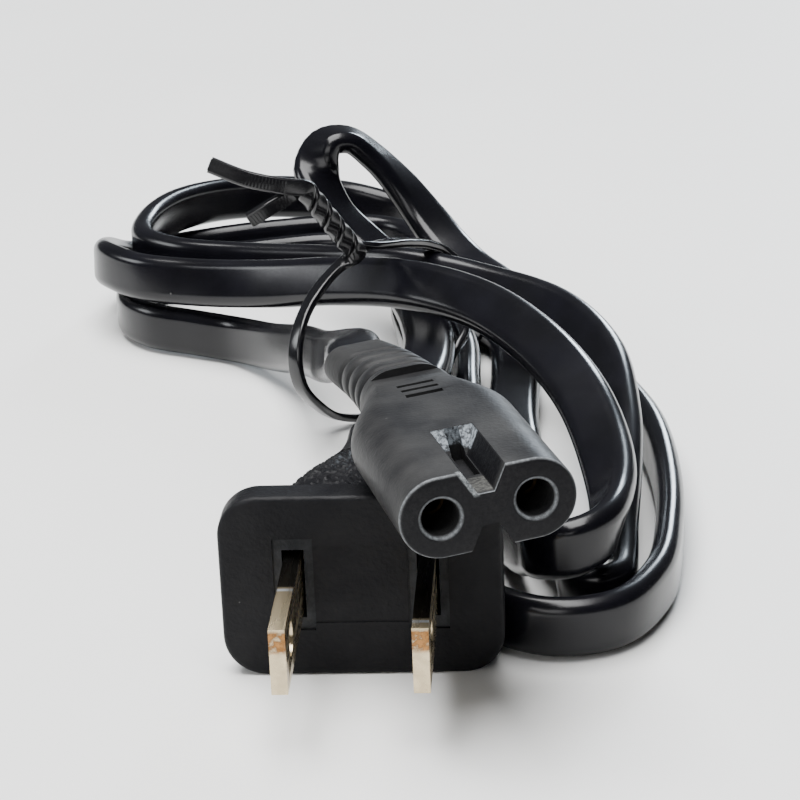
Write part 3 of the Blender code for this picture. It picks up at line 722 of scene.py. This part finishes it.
# %% [markdown]
# The next cell builds the sweep. The profile is a rectangle with its corners rounded as far as they go,
# which is the section of a flat two-core cord.

# %% The cord
CORD_CORNER = 0.499 * CORD_THICKNESS


def ribbon_line(name, points, facings):
    """A line of vertices that stores, at each one, the direction that the ribbon's flat side faces."""
    mesh = bpy.data.meshes.new(name)
    mesh.from_pydata(points, [(i, i + 1) for i in range(len(points) - 1)], [])
    store_directions(mesh, "facing", facings)
    return add_object(name, mesh)


def store_directions(mesh, name, directions):
    stored = mesh.attributes.new(name, "FLOAT_VECTOR", "POINT")
    stored.data.foreach_set("vector", [value for direction in directions for value in direction])


def sweep_group():
    """Sweeps a rectangle with rounded corners along a ribbon line."""
    group, given, end = geometry_group(
        "Swept ribbon",
        {"Thickness": 0.003, "Width": 0.006, "Corner": 0.001, "Corner points": 8, "Material": None},
    )
    line = node(group, "GeometryNodeMeshToCurve", {"Mesh": given["Geometry"]}).outputs["Curve"]
    normal = {"Curve": line, "Normal": stored_direction(group, "facing")}
    turned = node(group, "GeometryNodeSetCurveNormal", normal, mode="FREE").outputs["Curve"]
    sides = {"Width": given["Thickness"], "Height": given["Width"]}
    section = node(group, "GeometryNodeCurvePrimitiveQuadrilateral", sides).outputs["Curve"]
    corners = {"Curve": section, "Count": given["Corner points"], "Radius": given["Corner"]}
    rounded = node(group, "GeometryNodeFilletCurve", corners, mode="POLY").outputs["Curve"]
    sweep = {"Curve": turned, "Profile Curve": rounded, "Fill Caps": True}
    swept = node(group, "GeometryNodeCurveToMesh", sweep).outputs["Mesh"]
    smooth = node(group, "GeometryNodeSetShadeSmooth", {"Geometry": swept}).outputs["Geometry"]
    return pass_out(group, end, smooth, given["Material"])


def way_at(path, i):
    """The direction of the path at its point i."""
    before = Vector(path[max(i - 1, 0)][:3])
    after = Vector(path[min(i + 1, len(path) - 1)][:3])
    return (after - before).normalized()


def flat_facings(points):
    """The direction that the cord's flat side faces at each point, from its lean."""
    facings = []
    for i, point in enumerate(points):
        along = way_at(points, i)
        upright = (Vector((0, 0, 1)) - along * along.z).normalized()
        sideways = along.cross(upright)
        lean = math.radians(point[3])
        width = upright * math.cos(lean) + sideways * math.sin(lean)
        facings.append(along.cross(width).normalized())
    return facings


def sweep_along(line, thickness, width, corner, corner_points, mat):
    section = {"Thickness": thickness, "Width": width, "Corner": corner, "Corner points": corner_points}
    use_group(line, swept_ribbon, {**section, "Material": mat})


swept_ribbon = sweep_group()
samples = cord_points()
cord_line = [Vector(point[:3]) for point in samples]
cord = ribbon_line("cord", cord_line, flat_facings(samples))
sweep_along(cord, CORD_THICKNESS, CORD_WIDTH, CORD_CORNER, 9, cord_jacket)
finished(cord, smooth=60)

# %% [markdown]
# # The plug
#
# The plug is one moulding. Its flange has rounded corners and edges, and its grip narrows toward the
# neck where the cord comes in. The face has a shallow pocket round each blade and a faint panel between.
#
# The grip has a coarse pebbled grain. A Geometry Nodes group raises it from the surface, but only inside
# the band between the two plain ends. The bumps follow a Voronoi pattern, whose cells look like pebbles.

# %% The plug
EDGE_STEPS = 4
ROW_STEP = 0.0003
PLUG_COLUMNS = 264
PEBBLE_SIZE = 0.00060
PEBBLE_HEIGHT = 0.00028
PEBBLE_FADE = 0.0003
PANEL_HEIGHT = 0.84 * PAD_HEIGHT
PANEL_DEPTH = 0.00012
PAD_SOFTNESS = 0.00005
PAD_PATCH_SCALE = 1200.0
PAD_COLOUR = (0.022, 0.023, 0.025)


def grip_ring(y, share, inset=0.0):
    half_width = (GRIP_WIDTH + (NECK_WIDTH - GRIP_WIDTH) * share) / 2 - inset
    half_height = (GRIP_HEIGHT + (NECK_HEIGHT - GRIP_HEIGHT) * share) / 2 - inset
    return rounded_ring(y, half_width, half_height, min(half_width, half_height) * GRIP_ROUNDNESS)


def flange_ring(y, inset):
    return rounded_ring(y, PLUG_WIDTH / 2 - inset, PLUG_HEIGHT / 2 - inset, PLUG_CORNER - inset)


def plug_rings():
    """Rings from the face to the end of the neck."""
    turns = quarter(EDGE_STEPS)
    rings = [flange_ring(FLANGE_EDGE * back, FLANGE_EDGE * out) for back, out in turns]
    rings += [flange_ring(FLANGE_DEPTH - FLANGE_EDGE * out, FLANGE_EDGE * back) for back, out in turns]
    sides = [(FLANGE_DEPTH + STEP_SLOPE, 0.0)]
    sides += [(GRIP_START + (GRIP_END - GRIP_START) * along, share) for along, share in BAND_SHAPE]
    sides += [(GRIP_END + (PLUG_DEPTH - GRIP_END) * along, share) for along, share in NECK_SHAPE[1:]]
    sides += [(PLUG_DEPTH - NECK_EDGE, 1.0)]
    # The shares are drawn as lengths, so that the curve's samples stay evenly spaced along Y.
    scaled = [(y, share * PLUG_DEPTH, 0.0) for y, share in sides]
    for y, share, _ in smooth_route(scaled, ROW_STEP)[:-1]:
        in_band = GRIP_START < y < GRIP_END
        rings.append(grip_ring(y, share / PLUG_DEPTH, GRIP_STEP if in_band else 0.0))
    rings += [grip_ring(PLUG_DEPTH - NECK_EDGE * out, 1.0, NECK_EDGE * back) for back, out in turns]
    return [even_ring(ring, PLUG_COLUMNS) for ring in rings]


def pebble_group():
    """Raises pebbles from the skin between two places along Y."""
    group, given, end = geometry_group(
        "Pebbled grain", {"Height": 0.0002, "Size": 0.0005, "From": 0.0, "To": 0.01}
    )
    place = node(group, "GeometryNodeInputPosition").outputs["Position"]
    along = x_y_z(group, place)[1]
    faded_in = maths(group, "ADD", given["From"], PEBBLE_FADE)
    fade_out = maths(group, "SUBTRACT", given["To"], PEBBLE_FADE)
    rise = map_range(group, along, given["From"], faded_in, 0, 1)
    fall = map_range(group, along, fade_out, given["To"], 1, 0)
    cells = {"Vector": place, "Scale": maths(group, "DIVIDE", 1.0, given["Size"])}
    distance = node(group, "ShaderNodeTexVoronoi", cells).outputs["Distance"]
    pebbles = map_range(group, distance, 0.1, 0.65, 1, 0, interpolation_type="SMOOTHSTEP")
    height = both(group, both(group, pebbles, given["Height"]), both(group, rise, fall))
    normal = node(group, "GeometryNodeInputNormal").outputs[0]
    offset = node(group, "ShaderNodeVectorMath", {0: normal, "Scale": height}, operation="SCALE")
    move = {"Geometry": given["Geometry"], "Offset": offset.outputs[0]}
    moved = node(group, "GeometryNodeSetPosition", move)
    group.links.new(moved.outputs["Geometry"], end.inputs["Geometry"])
    return group


def lighten_pads(mat):
    """The pads round the blades are a little paler than the rest of the face."""
    tree = mat.node_tree
    where = node(tree, "ShaderNodeTexCoord").outputs["Object"]
    x, y, z = x_y_z(tree, where)
    aside = maths(tree, "ABSOLUTE", x)
    pad = zone(
        tree,
        (aside, (BLADE_SPACING - PAD_WIDTH) / 2, (BLADE_SPACING + PAD_WIDTH) / 2, PAD_SOFTNESS),
        (z, BLADE_MIDDLE - PAD_HEIGHT / 2, BLADE_MIDDLE + PAD_HEIGHT / 2, PAD_SOFTNESS),
        (y, PAD_DEPTH / 2, 2 * PAD_DEPTH, PAD_SOFTNESS),
    )
    patches = map_range(tree, noise(tree, where, PAD_PATCH_SCALE), 0.35, 0.65, 0.5, 1)
    paint_over(mat, [(both(tree, pad, patches), PAD_COLOUR)])


def make_plug():
    piece = loft("plug", plug_rings(), plug_plastic)
    piece.location.z = PLUG_HEIGHT / 2
    grain = {"Height": PEBBLE_HEIGHT, "Size": PEBBLE_SIZE, "From": GRIP_START, "To": GRIP_END}
    use_group(piece, pebble_group(), grain)
    panel = rectangle(BLADE_SPACING - PAD_WIDTH, PANEL_HEIGHT, 0.0, BLADE_RISE)
    pockets = [("panel", panel, PANEL_DEPTH)]
    for side in (-1, 1):
        x = side * BLADE_SPACING / 2
        pad = rectangle(PAD_WIDTH, PAD_HEIGHT, x, BLADE_RISE)
        slot_sides = (BLADE_THICKNESS + 2 * SLOT_CLEARANCE, BLADE_HEIGHT + 2 * SLOT_CLEARANCE)
        slot = rectangle(*slot_sides, x, BLADE_RISE)
        pockets += [("pad", pad, PAD_DEPTH), ("slot", slot, BLADE_ROOT + SLOT_CLEARANCE)]
    cutters = [cut(piece, prism(name, outline, -GAP, depth)) for name, outline, depth in pockets]
    for cutter in cutters:
        cutter.location.z = PLUG_HEIGHT / 2
    return finished(piece, cutters)


lighten_pads(plug_plastic)
plug = make_plug()

# %% [markdown]
# # The blades
#
# Each blade is a flat bar with a round hole near its tip. A small bevel rounds every edge, which is what
# makes stamped metal look like metal: each edge carries a thin bright line.

# %% The blades
BLADE_SOFTENING = 0.00014


def make_blade(name, side):
    piece = prism(name, rectangle(BLADE_THICKNESS, BLADE_HEIGHT), -BLADE_LENGTH, BLADE_ROOT)
    piece.data.materials.append(blade_nickel)
    piece.location = (side * BLADE_SPACING / 2, 0, BLADE_MIDDLE)
    drill = cylinder("drill", BLADE_HOLE / 2, -BLADE_THICKNESS, BLADE_THICKNESS)
    drill.rotation_euler.z = math.radians(90)
    drill.location = piece.location + Vector((0, -BLADE_HOLE_FROM_FACE, 0))
    cut(piece, drill)
    soften(piece, BLADE_SOFTENING)
    return finished(piece, [drill], smooth=30)


blades = [make_blade("blade_left_metal", -1), make_blade("blade_right_metal", 1)]

# %% [markdown]
# # The connector
#
# The connector is also one moulding. Two round lobes with a hole each give its face the shape of an
# eight, with a notch above and below. On top are a recess for the thumb and three grip slots. The boot
# behind has ring grooves, so that it bends softly, and here it bends to the left with the cord. The
# notch ends in a ramp, and a narrow groove runs along its floor and into the ramp, as in the photo.
#
# The shape is built straight along Y, then cut, softened and moved to where the connector lies. Shade
# and highlights are painted by place, together with a paler front to the notch's floor. The offset from
# the face's middle, measured along the connector's own three axes, tells the material where the face,
# the notch and its walls are. The face and the notch's walls get painted shade. The rim round the face,
# the ramp and the notch's front edge get painted highlights.

# %% The connector
FACE_STEPS = 3
BODY_STEPS = 16
RAMP_SLOPE = 0.8
GROOVE_START = 0.0048
GROOVE_DEPTH = 0.0036
GROOVE_WIDTH = 0.0013
RECESS_HEIGHT = 0.004
CONNECTOR_SOFTENING = 0.00016
# The section of a ring groove: how far along the boot, and the share of its full depth
RING_SECTION = [
    (-STEP_SLOPE, 0.0), (0.0, 0.3), (STEP_SLOPE, 1.0),
    (RING_WIDTH - STEP_SLOPE, 1.0), (RING_WIDTH, 0.3), (RING_WIDTH + STEP_SLOPE, 0.0),
]

NOTCH_LEVEL = LOBE_RADIUS - NOTCH_DEPTH
# Sizes for the painted shade and highlights on the connector, and for its paler notch floor
PAINT_PATCH_SCALE = 2600.0
PAINT_SOFTNESS = 0.00008
PAINT_START = 0.0008
RAMP_START = 0.80 * NOTCH_LENGTH
FLOOR_PALE_END = 0.35 * NOTCH_LENGTH
IN_FRONT = -0.001


def paint_shade_and_highlights(mat, place):
    """Paints shade on the face and the notch's walls, and highlights on the rim round the face, on the ramp
    and on the notch's front edge. It also makes the front of the notch's floor paler.
    """
    tree = mat.node_tree
    soft = PAINT_SOFTNESS
    where = node(tree, "ShaderNodeTexCoord").outputs["Object"]
    middle = {0: where, 1: place.to_translation()}
    offset = node(tree, "ShaderNodeVectorMath", middle, operation="SUBTRACT").outputs[0]
    x, y, z = (dot_product(tree, offset, axis) for axis in place.to_3x3().col)
    in_notch = (x, -NOTCH_MOUTH / 2, NOTCH_MOUTH / 2, soft)
    wall = map_range(tree, z, NOTCH_LEVEL, LOBE_RADIUS, NOTCH_FLOOR / 2, NOTCH_MOUTH / 2)
    from_wall = maths(tree, "ADD", x, wall)
    bottom, top = NOTCH_LEVEL, LOBE_RADIUS
    # Painted shade: the face is darker, as it faces away from the light.
    on_face = [(y, IN_FRONT, 0.00005, 0.00004)]
    # Painted shade: the notch's walls are darker, for the shade inside the notch.
    on_wall = [(y, PAINT_START, RAMP_START, 0.0006), (z, bottom + soft, top, soft), in_notch]
    # Painted highlight: a pale line round the face's rounded rim, where it catches the light.
    on_rim = [(y, 0.00012, 0.00032, soft)]
    # Painted highlight: mottled pale patches on the ramp at the notch's end, which faces the light.
    on_ramp = [(y, RAMP_START, NOTCH_LENGTH, soft), (z, bottom + 0.0006, top - 0.0001, soft), in_notch]
    # The front of the notch's floor is painted paler.
    on_floor = [(y, PAINT_START, FLOOR_PALE_END, 0.0002), (z, bottom / 2, bottom, soft), in_notch]
    # Painted highlight: a pale strip along the notch's front edge, where the rounded edge catches the
    # light.
    on_edge = [(from_wall, -0.00045, 0.0001, soft), (z, bottom, top, 0.0002), (y, IN_FRONT, 0.0006, soft)]
    patch_noise = noise(tree, where, PAINT_PATCH_SCALE, 3.0, 0.7)
    layers = []
    # Each zone's spans, the least share of it that is painted, and its tint. The face and walls get painted
    # shade, the rim, ramp and edge get painted highlights, and the floor is made paler.
    for spans, least_cover, tint in (
        (on_face, 0.80, (0.004, 0.004, 0.005)),
        (on_wall, 0.80, (0.003, 0.003, 0.004)),
        (on_rim, 0.45, (0.16, 0.17, 0.18)),
        (on_ramp, 0.10, (0.26, 0.29, 0.32)),
        (on_floor, 0.10, (0.12, 0.12, 0.11)),
        (on_edge, 0.30, (0.26, 0.28, 0.29)),
    ):
        cover = map_range(tree, patch_noise, 0.40, 0.60, least_cover, 1)
        layers.append((both(tree, zone(tree, *spans), cover), tint))
    paint_over(mat, layers)


def body_ring(y, width, height=LOBE_RADIUS):
    return rounded_ring(y, width, height, height)


def boot_ring(y, inset=0.0):
    share = (y - BODY_LENGTH) / BOOT_LENGTH
    start = (BODY_END_WIDTH / 2 * BOOT_START_SHARE, LOBE_RADIUS * BOOT_START_SHARE)
    end = (BOOT_END_WIDTH / 2, BOOT_END_HEIGHT / 2)
    width, height = (a + (b - a) * share - inset for a, b in zip(start, end))
    return rounded_ring(y, width, height, height, -BOOT_BEND * share**2)


def connector_rings():
    """Rings from the face to the end of the boot."""
    straight = HOLE_SPACING / 2 + LOBE_RADIUS
    narrow = BODY_END_WIDTH / 2
    rings = []
    for back, out in quarter(FACE_STEPS):
        inset = FACE_EDGE * out
        rings.append(body_ring(FACE_EDGE * back, straight - inset, LOBE_RADIUS - inset))
    for step in range(BODY_STEPS + 1):
        share = step / BODY_STEPS
        y = BODY_STRAIGHT + (BODY_LENGTH - BODY_END_SLOPE - BODY_STRAIGHT) * share
        ease = (1 - math.cos(math.pi * share)) / 2
        rings.append(body_ring(y, straight + (narrow - straight) * ease))
    for y, inset in ((BODY_LENGTH - STEP_SLOPE, STEP_SLOPE / 2), (BODY_LENGTH, BODY_END_EDGE)):
        rings.append(body_ring(y, narrow - inset, LOBE_RADIUS - inset))
    rings.append(boot_ring(BODY_LENGTH + BOOT_START))
    for ring in range(RING_COUNT):
        y = BODY_LENGTH + RING_START + ring * RING_PITCH
        rings += [boot_ring(y + further, RING_DEPTH * depth) for further, depth in RING_SECTION]
    total = BODY_LENGTH + BOOT_LENGTH
    return rings + [boot_ring(total - NECK_EDGE), boot_ring(total, NECK_EDGE)]


def hole_cutters():
    made = []
    hole = HOLE_DIAMETER / 2
    for x in (-HOLE_SPACING / 2, HOLE_SPACING / 2):
        made.append(cylinder("hole", hole, -GAP, HOLE_DEPTH, x))
        wide = hole + HOLE_CHAMFER + GAP
        made.append(cylinder("mouth", wide, -GAP, HOLE_CHAMFER + GAP, x, end_radius=hole - GAP))
    return made


def notch_cutters():
    made = []
    beyond = LOBE_RADIUS + GAP
    flare = (NOTCH_MOUTH - NOTCH_FLOOR) / 2 * (beyond - NOTCH_LEVEL) / NOTCH_DEPTH
    for side in (-1, 1):
        outline = [
            (-NOTCH_FLOOR / 2, side * NOTCH_LEVEL),
            (NOTCH_FLOOR / 2, side * NOTCH_LEVEL),
            (NOTCH_FLOOR / 2 + flare, side * beyond),
            (-NOTCH_FLOOR / 2 - flare, side * beyond),
        ]
        ramp = [Vector((x, NOTCH_LENGTH - RAMP_SLOPE * (beyond - abs(z)), z)) for x, z in outline]
        made.append(loft("notch", [in_plane(outline, -GAP), ramp]))
        groove = rectangle(GROOVE_WIDTH, GROOVE_DEPTH, 0.0, side * (beyond - GROOVE_DEPTH / 2))
        made.append(prism("groove", groove, GROOVE_START, NOTCH_LENGTH - GAP))
    return made


def thumb_cutters():
    rear = BODY_LENGTH - THUMB_REAR_GAP
    front = rear - THUMB_LENGTH
    recess = []
    for y, width, depth in ((front, THUMB_FRONT_WIDTH, -GAP / 2), (rear, THUMB_REAR_WIDTH, THUMB_DEPTH)):
        middle = LOBE_RADIUS - depth + RECESS_HEIGHT / 2
        recess.append(in_plane(rectangle(width, RECESS_HEIGHT, 0.0, middle), y))
    made = [loft("recess", recess)]
    outline = rectangle(SLOT_LENGTH, 2 * SLOT_DEPTH, 0.0, LOBE_RADIUS)
    for slot in range(SLOT_COUNT):
        y = front + SLOT_START + slot * SLOT_PITCH
        made.append(prism("slot", outline, y, y + SLOT_WIDTH))
    return made


def make_connector(place):
    piece = loft("connector", connector_rings(), connector_plastic)
    cutters = hole_cutters() + notch_cutters() + thumb_cutters()
    for cutter in cutters:
        cut(piece, cutter)
    soften(piece, CONNECTOR_SOFTENING)
    finished(piece, cutters, smooth=32)
    piece.data.transform(place)
    return piece


# Paints the shade and highlights into the connector's plastic
paint_shade_and_highlights(connector_plastic, connector_place())
connector = make_connector(connector_place())

# %% [markdown]
# # The twist tie
#
# One ribbon goes round the hank, and its ends are twisted together above it. The path runs from the
# tip of the long tail down the twist, round the loop, up the twist again and out along the short tail.
# The two strands of the twist are two spirals half a turn apart. They go round twice, as the photo
# shows, where the simpler CAD solid goes round three times.
#
# The ribbon is swept like the cord. Its fine cross ribs are one small bar, which a second Geometry Nodes
# group puts on each point of two lines, one on either flat side, and turns to follow the ribbon.

# %% The twist tie
TWIST_BOTTOM = (-0.0045, 0.0680, 0.0209)
TWIST_TOP = (-0.0097, 0.0640, 0.0298)
TWIST_TURNS = 2
TWIST_STEPS = 14
BUNDLE_MIDDLE = (-0.0020, 0.0710, 0.0100)
# The way round the bundle in millimetres, from the bottom of the twist down the left side and up the right
TIE_LOOP = [
    (-6.3, 67.4, 19.4), (-9.2, 65.2, 16.6), (-10.9, 61.5, 13.6), (-11.3, 59.7, 10.4),
    (-10.8, 59.7, 7.4), (-9.3, 61.6, 4.4), (-7.2, 64.4, 1.8), (-4, 66.8, 0.7), (0.5, 68.8, 0.6),
    (4.3, 69.8, 0.8), (5.6, 70.1, 2.6), (5.7, 70.2, 5.2), (6.5, 70.8, 7.2), (7.6, 72.8, 8.4),
    (8.2, 77.4, 9.3), (8.4, 81.2, 10.7), (7.4, 82.9, 13.2), (5.2, 83.2, 15.8), (3, 80.6, 17.7),
    (0.8, 76.6, 19.2), (-1.8, 72, 20.4),
]
# The two tails in millimetres, from the top of the twist to the tip
TIE_TAIL_LONG = [
    (-12.1, 62.4, 30.6), (-16.1, 62, 31.7), (-20, 62, 33.4),
]
TIE_TAIL_SHORT = [
    (-11.4, 63.2, 29.1), (-13.5, 62.2, 28.1), (-15.8, 62, 26.8),
]
RIB_PITCH = 0.00038
RIB_WIDTH = 0.00018
RIB_HEIGHT = 0.00016
RIB_LENGTH = 0.72 * TIE_WIDTH
RIB_SUNK = 0.00006
TIE_CORNER = 0.35 * TIE_THICKNESS


def vectors(points):
    """Points given in millimetres, as vectors in metres."""
    return [Vector([value / 1000 for value in point]) for point in points]


def tie_path():
    """Points along the tie, each with the direction that its flat side faces."""
    bottom = Vector(TWIST_BOTTOM)
    top = Vector(TWIST_TOP)
    axis = (top - bottom).normalized()
    across = axis.cross(Vector((0, 0, 1))).normalized()
    apart = TIE_THICKNESS / 2 + GAP
    steps = TWIST_TURNS * TWIST_STEPS

    def strand(side):
        found = []
        for step in range(steps + 1):
            turn = Matrix.Rotation(2 * math.pi * TWIST_TURNS * step / steps, 3, axis)
            outward = side * (turn @ across)
            found.append((bottom.lerp(top, step / steps) + apart * outward, outward))
        return found

    loop = [(point, (point - Vector(BUNDLE_MIDDLE)).normalized()) for point in vectors(TIE_LOOP)]
    left, right = strand(-1), strand(1)
    long_tail = [(point, left[-1][1]) for point in vectors(TIE_TAIL_LONG)]
    short_tail = [(point, right[-1][1]) for point in vectors(TIE_TAIL_SHORT)]
    return long_tail[::-1] + left[::-1] + loop + right + short_tail


def tie_samples(step):
    """Points about step apart, each with the ribbon's direction and the way its flat side faces."""
    path = smooth_route([(*point, *facing) for point, facing in tie_path()], step)
    found = []
    for i, sample in enumerate(path):
        along = way_at(path, i)
        facing = Vector(sample[3:])
        facing = (facing - facing.dot(along) * along).normalized()
        found.append((Vector(sample[:3]), along, facing))
    return found


def rib_group():
    """Puts a small bar on every point, its length across the ribbon and its height along facing."""
    group, given, end = geometry_group(
        "Cross ribs", {"Length": 0.0015, "Width": 0.0002, "Height": 0.0001, "Material": None}
    )
    points = node(group, "GeometryNodeMeshToPoints", {"Mesh": given["Geometry"]}).outputs["Points"]
    sides = {"X": given["Length"], "Y": given["Width"], "Z": given["Height"]}
    size = node(group, "ShaderNodeCombineXYZ", sides).outputs[0]
    bar = node(group, "GeometryNodeMeshCube", {"Size": size}).outputs["Mesh"]
    align = "FunctionNodeAlignRotationToVector"
    upright = node(group, align, {"Vector": stored_direction(group, "facing")}, axis="Z")
    follow = {"Rotation": upright.outputs["Rotation"], "Vector": stored_direction(group, "along")}
    turned = node(group, align, follow, axis="Y", pivot_axis="Z").outputs["Rotation"]
    copies = {"Points": points, "Instance": bar, "Rotation": turned}
    bars = node(group, "GeometryNodeInstanceOnPoints", copies).outputs["Instances"]
    real = node(group, "GeometryNodeRealizeInstances", {"Geometry": bars}).outputs["Geometry"]
    return pass_out(group, end, real, given["Material"])


def make_tie():
    samples = tie_samples(TIE_THICKNESS / 4)
    ribbon = ribbon_line("tie", [s[0] for s in samples], [s[2] for s in samples])
    sweep_along(ribbon, TIE_THICKNESS, TIE_WIDTH, TIE_CORNER, 4, tie_plastic)
    return finished(ribbon, smooth=50)


def has_ribs(point):
    """The ribs show on the tails and on the strap's right side. Elsewhere they are pressed smooth."""
    on_tail = point.x < TWIST_TOP[0] - TIE_WIDTH
    on_right = point.x > TWIST_BOTTOM[0] + 2 * TIE_WIDTH and point.z > BUNDLE_MIDDLE[2]
    return on_tail or on_right


def make_ribs():
    samples = [sample for sample in tie_samples(RIB_PITCH) if has_ribs(sample[0])]
    lift = (TIE_THICKNESS + RIB_HEIGHT) / 2 - RIB_SUNK
    samples = [(p + side * lift * f, a, side * f) for side in (1, -1) for p, a, f in samples]
    points, along, facings = zip(*samples)
    ribs = ribbon_line("tie_ribs", points, facings)
    store_directions(ribs.data, "along", along)
    bar = {"Length": RIB_LENGTH, "Width": RIB_WIDTH, "Height": RIB_HEIGHT, "Material": tie_plastic}
    use_group(ribs, rib_group(), bar)
    return finished(ribs, smooth=None)


tie = make_tie()
ribs = make_ribs()

# %% [markdown]
# # The sleeves in the holes
#
# The brass sleeves sit deep in the connector's holes. Their CAD solids have the right shape, so they
# stay, and only get a tarnished brass, darkened further as painted shade so that the holes look black.

# %% The sleeves in the holes
def tarnished_shaded_brass():
    mat, tree, shader, where = new_material("contact_brass")
    shader.inputs["Metallic"].default_value = 1.0
    blotches = noise(tree, where, 900.0, 4.0)
    # The brass is tarnished, and its colours are darkened further as painted shade for the depth of the
    # holes.
    colour = colour_mix(tree, blotches, (0.04, 0.025, 0.012), (0.09, 0.06, 0.025))
    set_surface(tree, shader, colour, map_range(tree, blotches, 0.3, 0.7, 0.4, 0.6))
    return mat


contact_brass = tarnished_shaded_brass()
for name in ("socket_contact_left", "socket_contact_right"):
    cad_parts[name].data.materials.clear()
    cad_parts[name].data.materials.append(contact_brass)

# %% [markdown]
# # Tie the pieces to the CAD model
#
# Each visible piece rides on the one body of this part. All but the ribs replace a CAD solid.

# %% Tie the pieces to the CAD model
for piece, nodes, slot in (
    (cord, ["power_cord"], "cord_jacket"),
    (plug, ["plug_body"], "plug_plastic"),
    (blades[0], ["blade_left"], "blade_nickel"),
    (blades[1], ["blade_right"], "blade_nickel"),
    (connector, ["connector_body"], "connector_plastic"),
    (tie, ["twist_tie"], "tie_plastic"),
    (ribs, [], "tie_plastic"),
):
    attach(piece, "root")
    if nodes:
        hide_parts(*nodes)
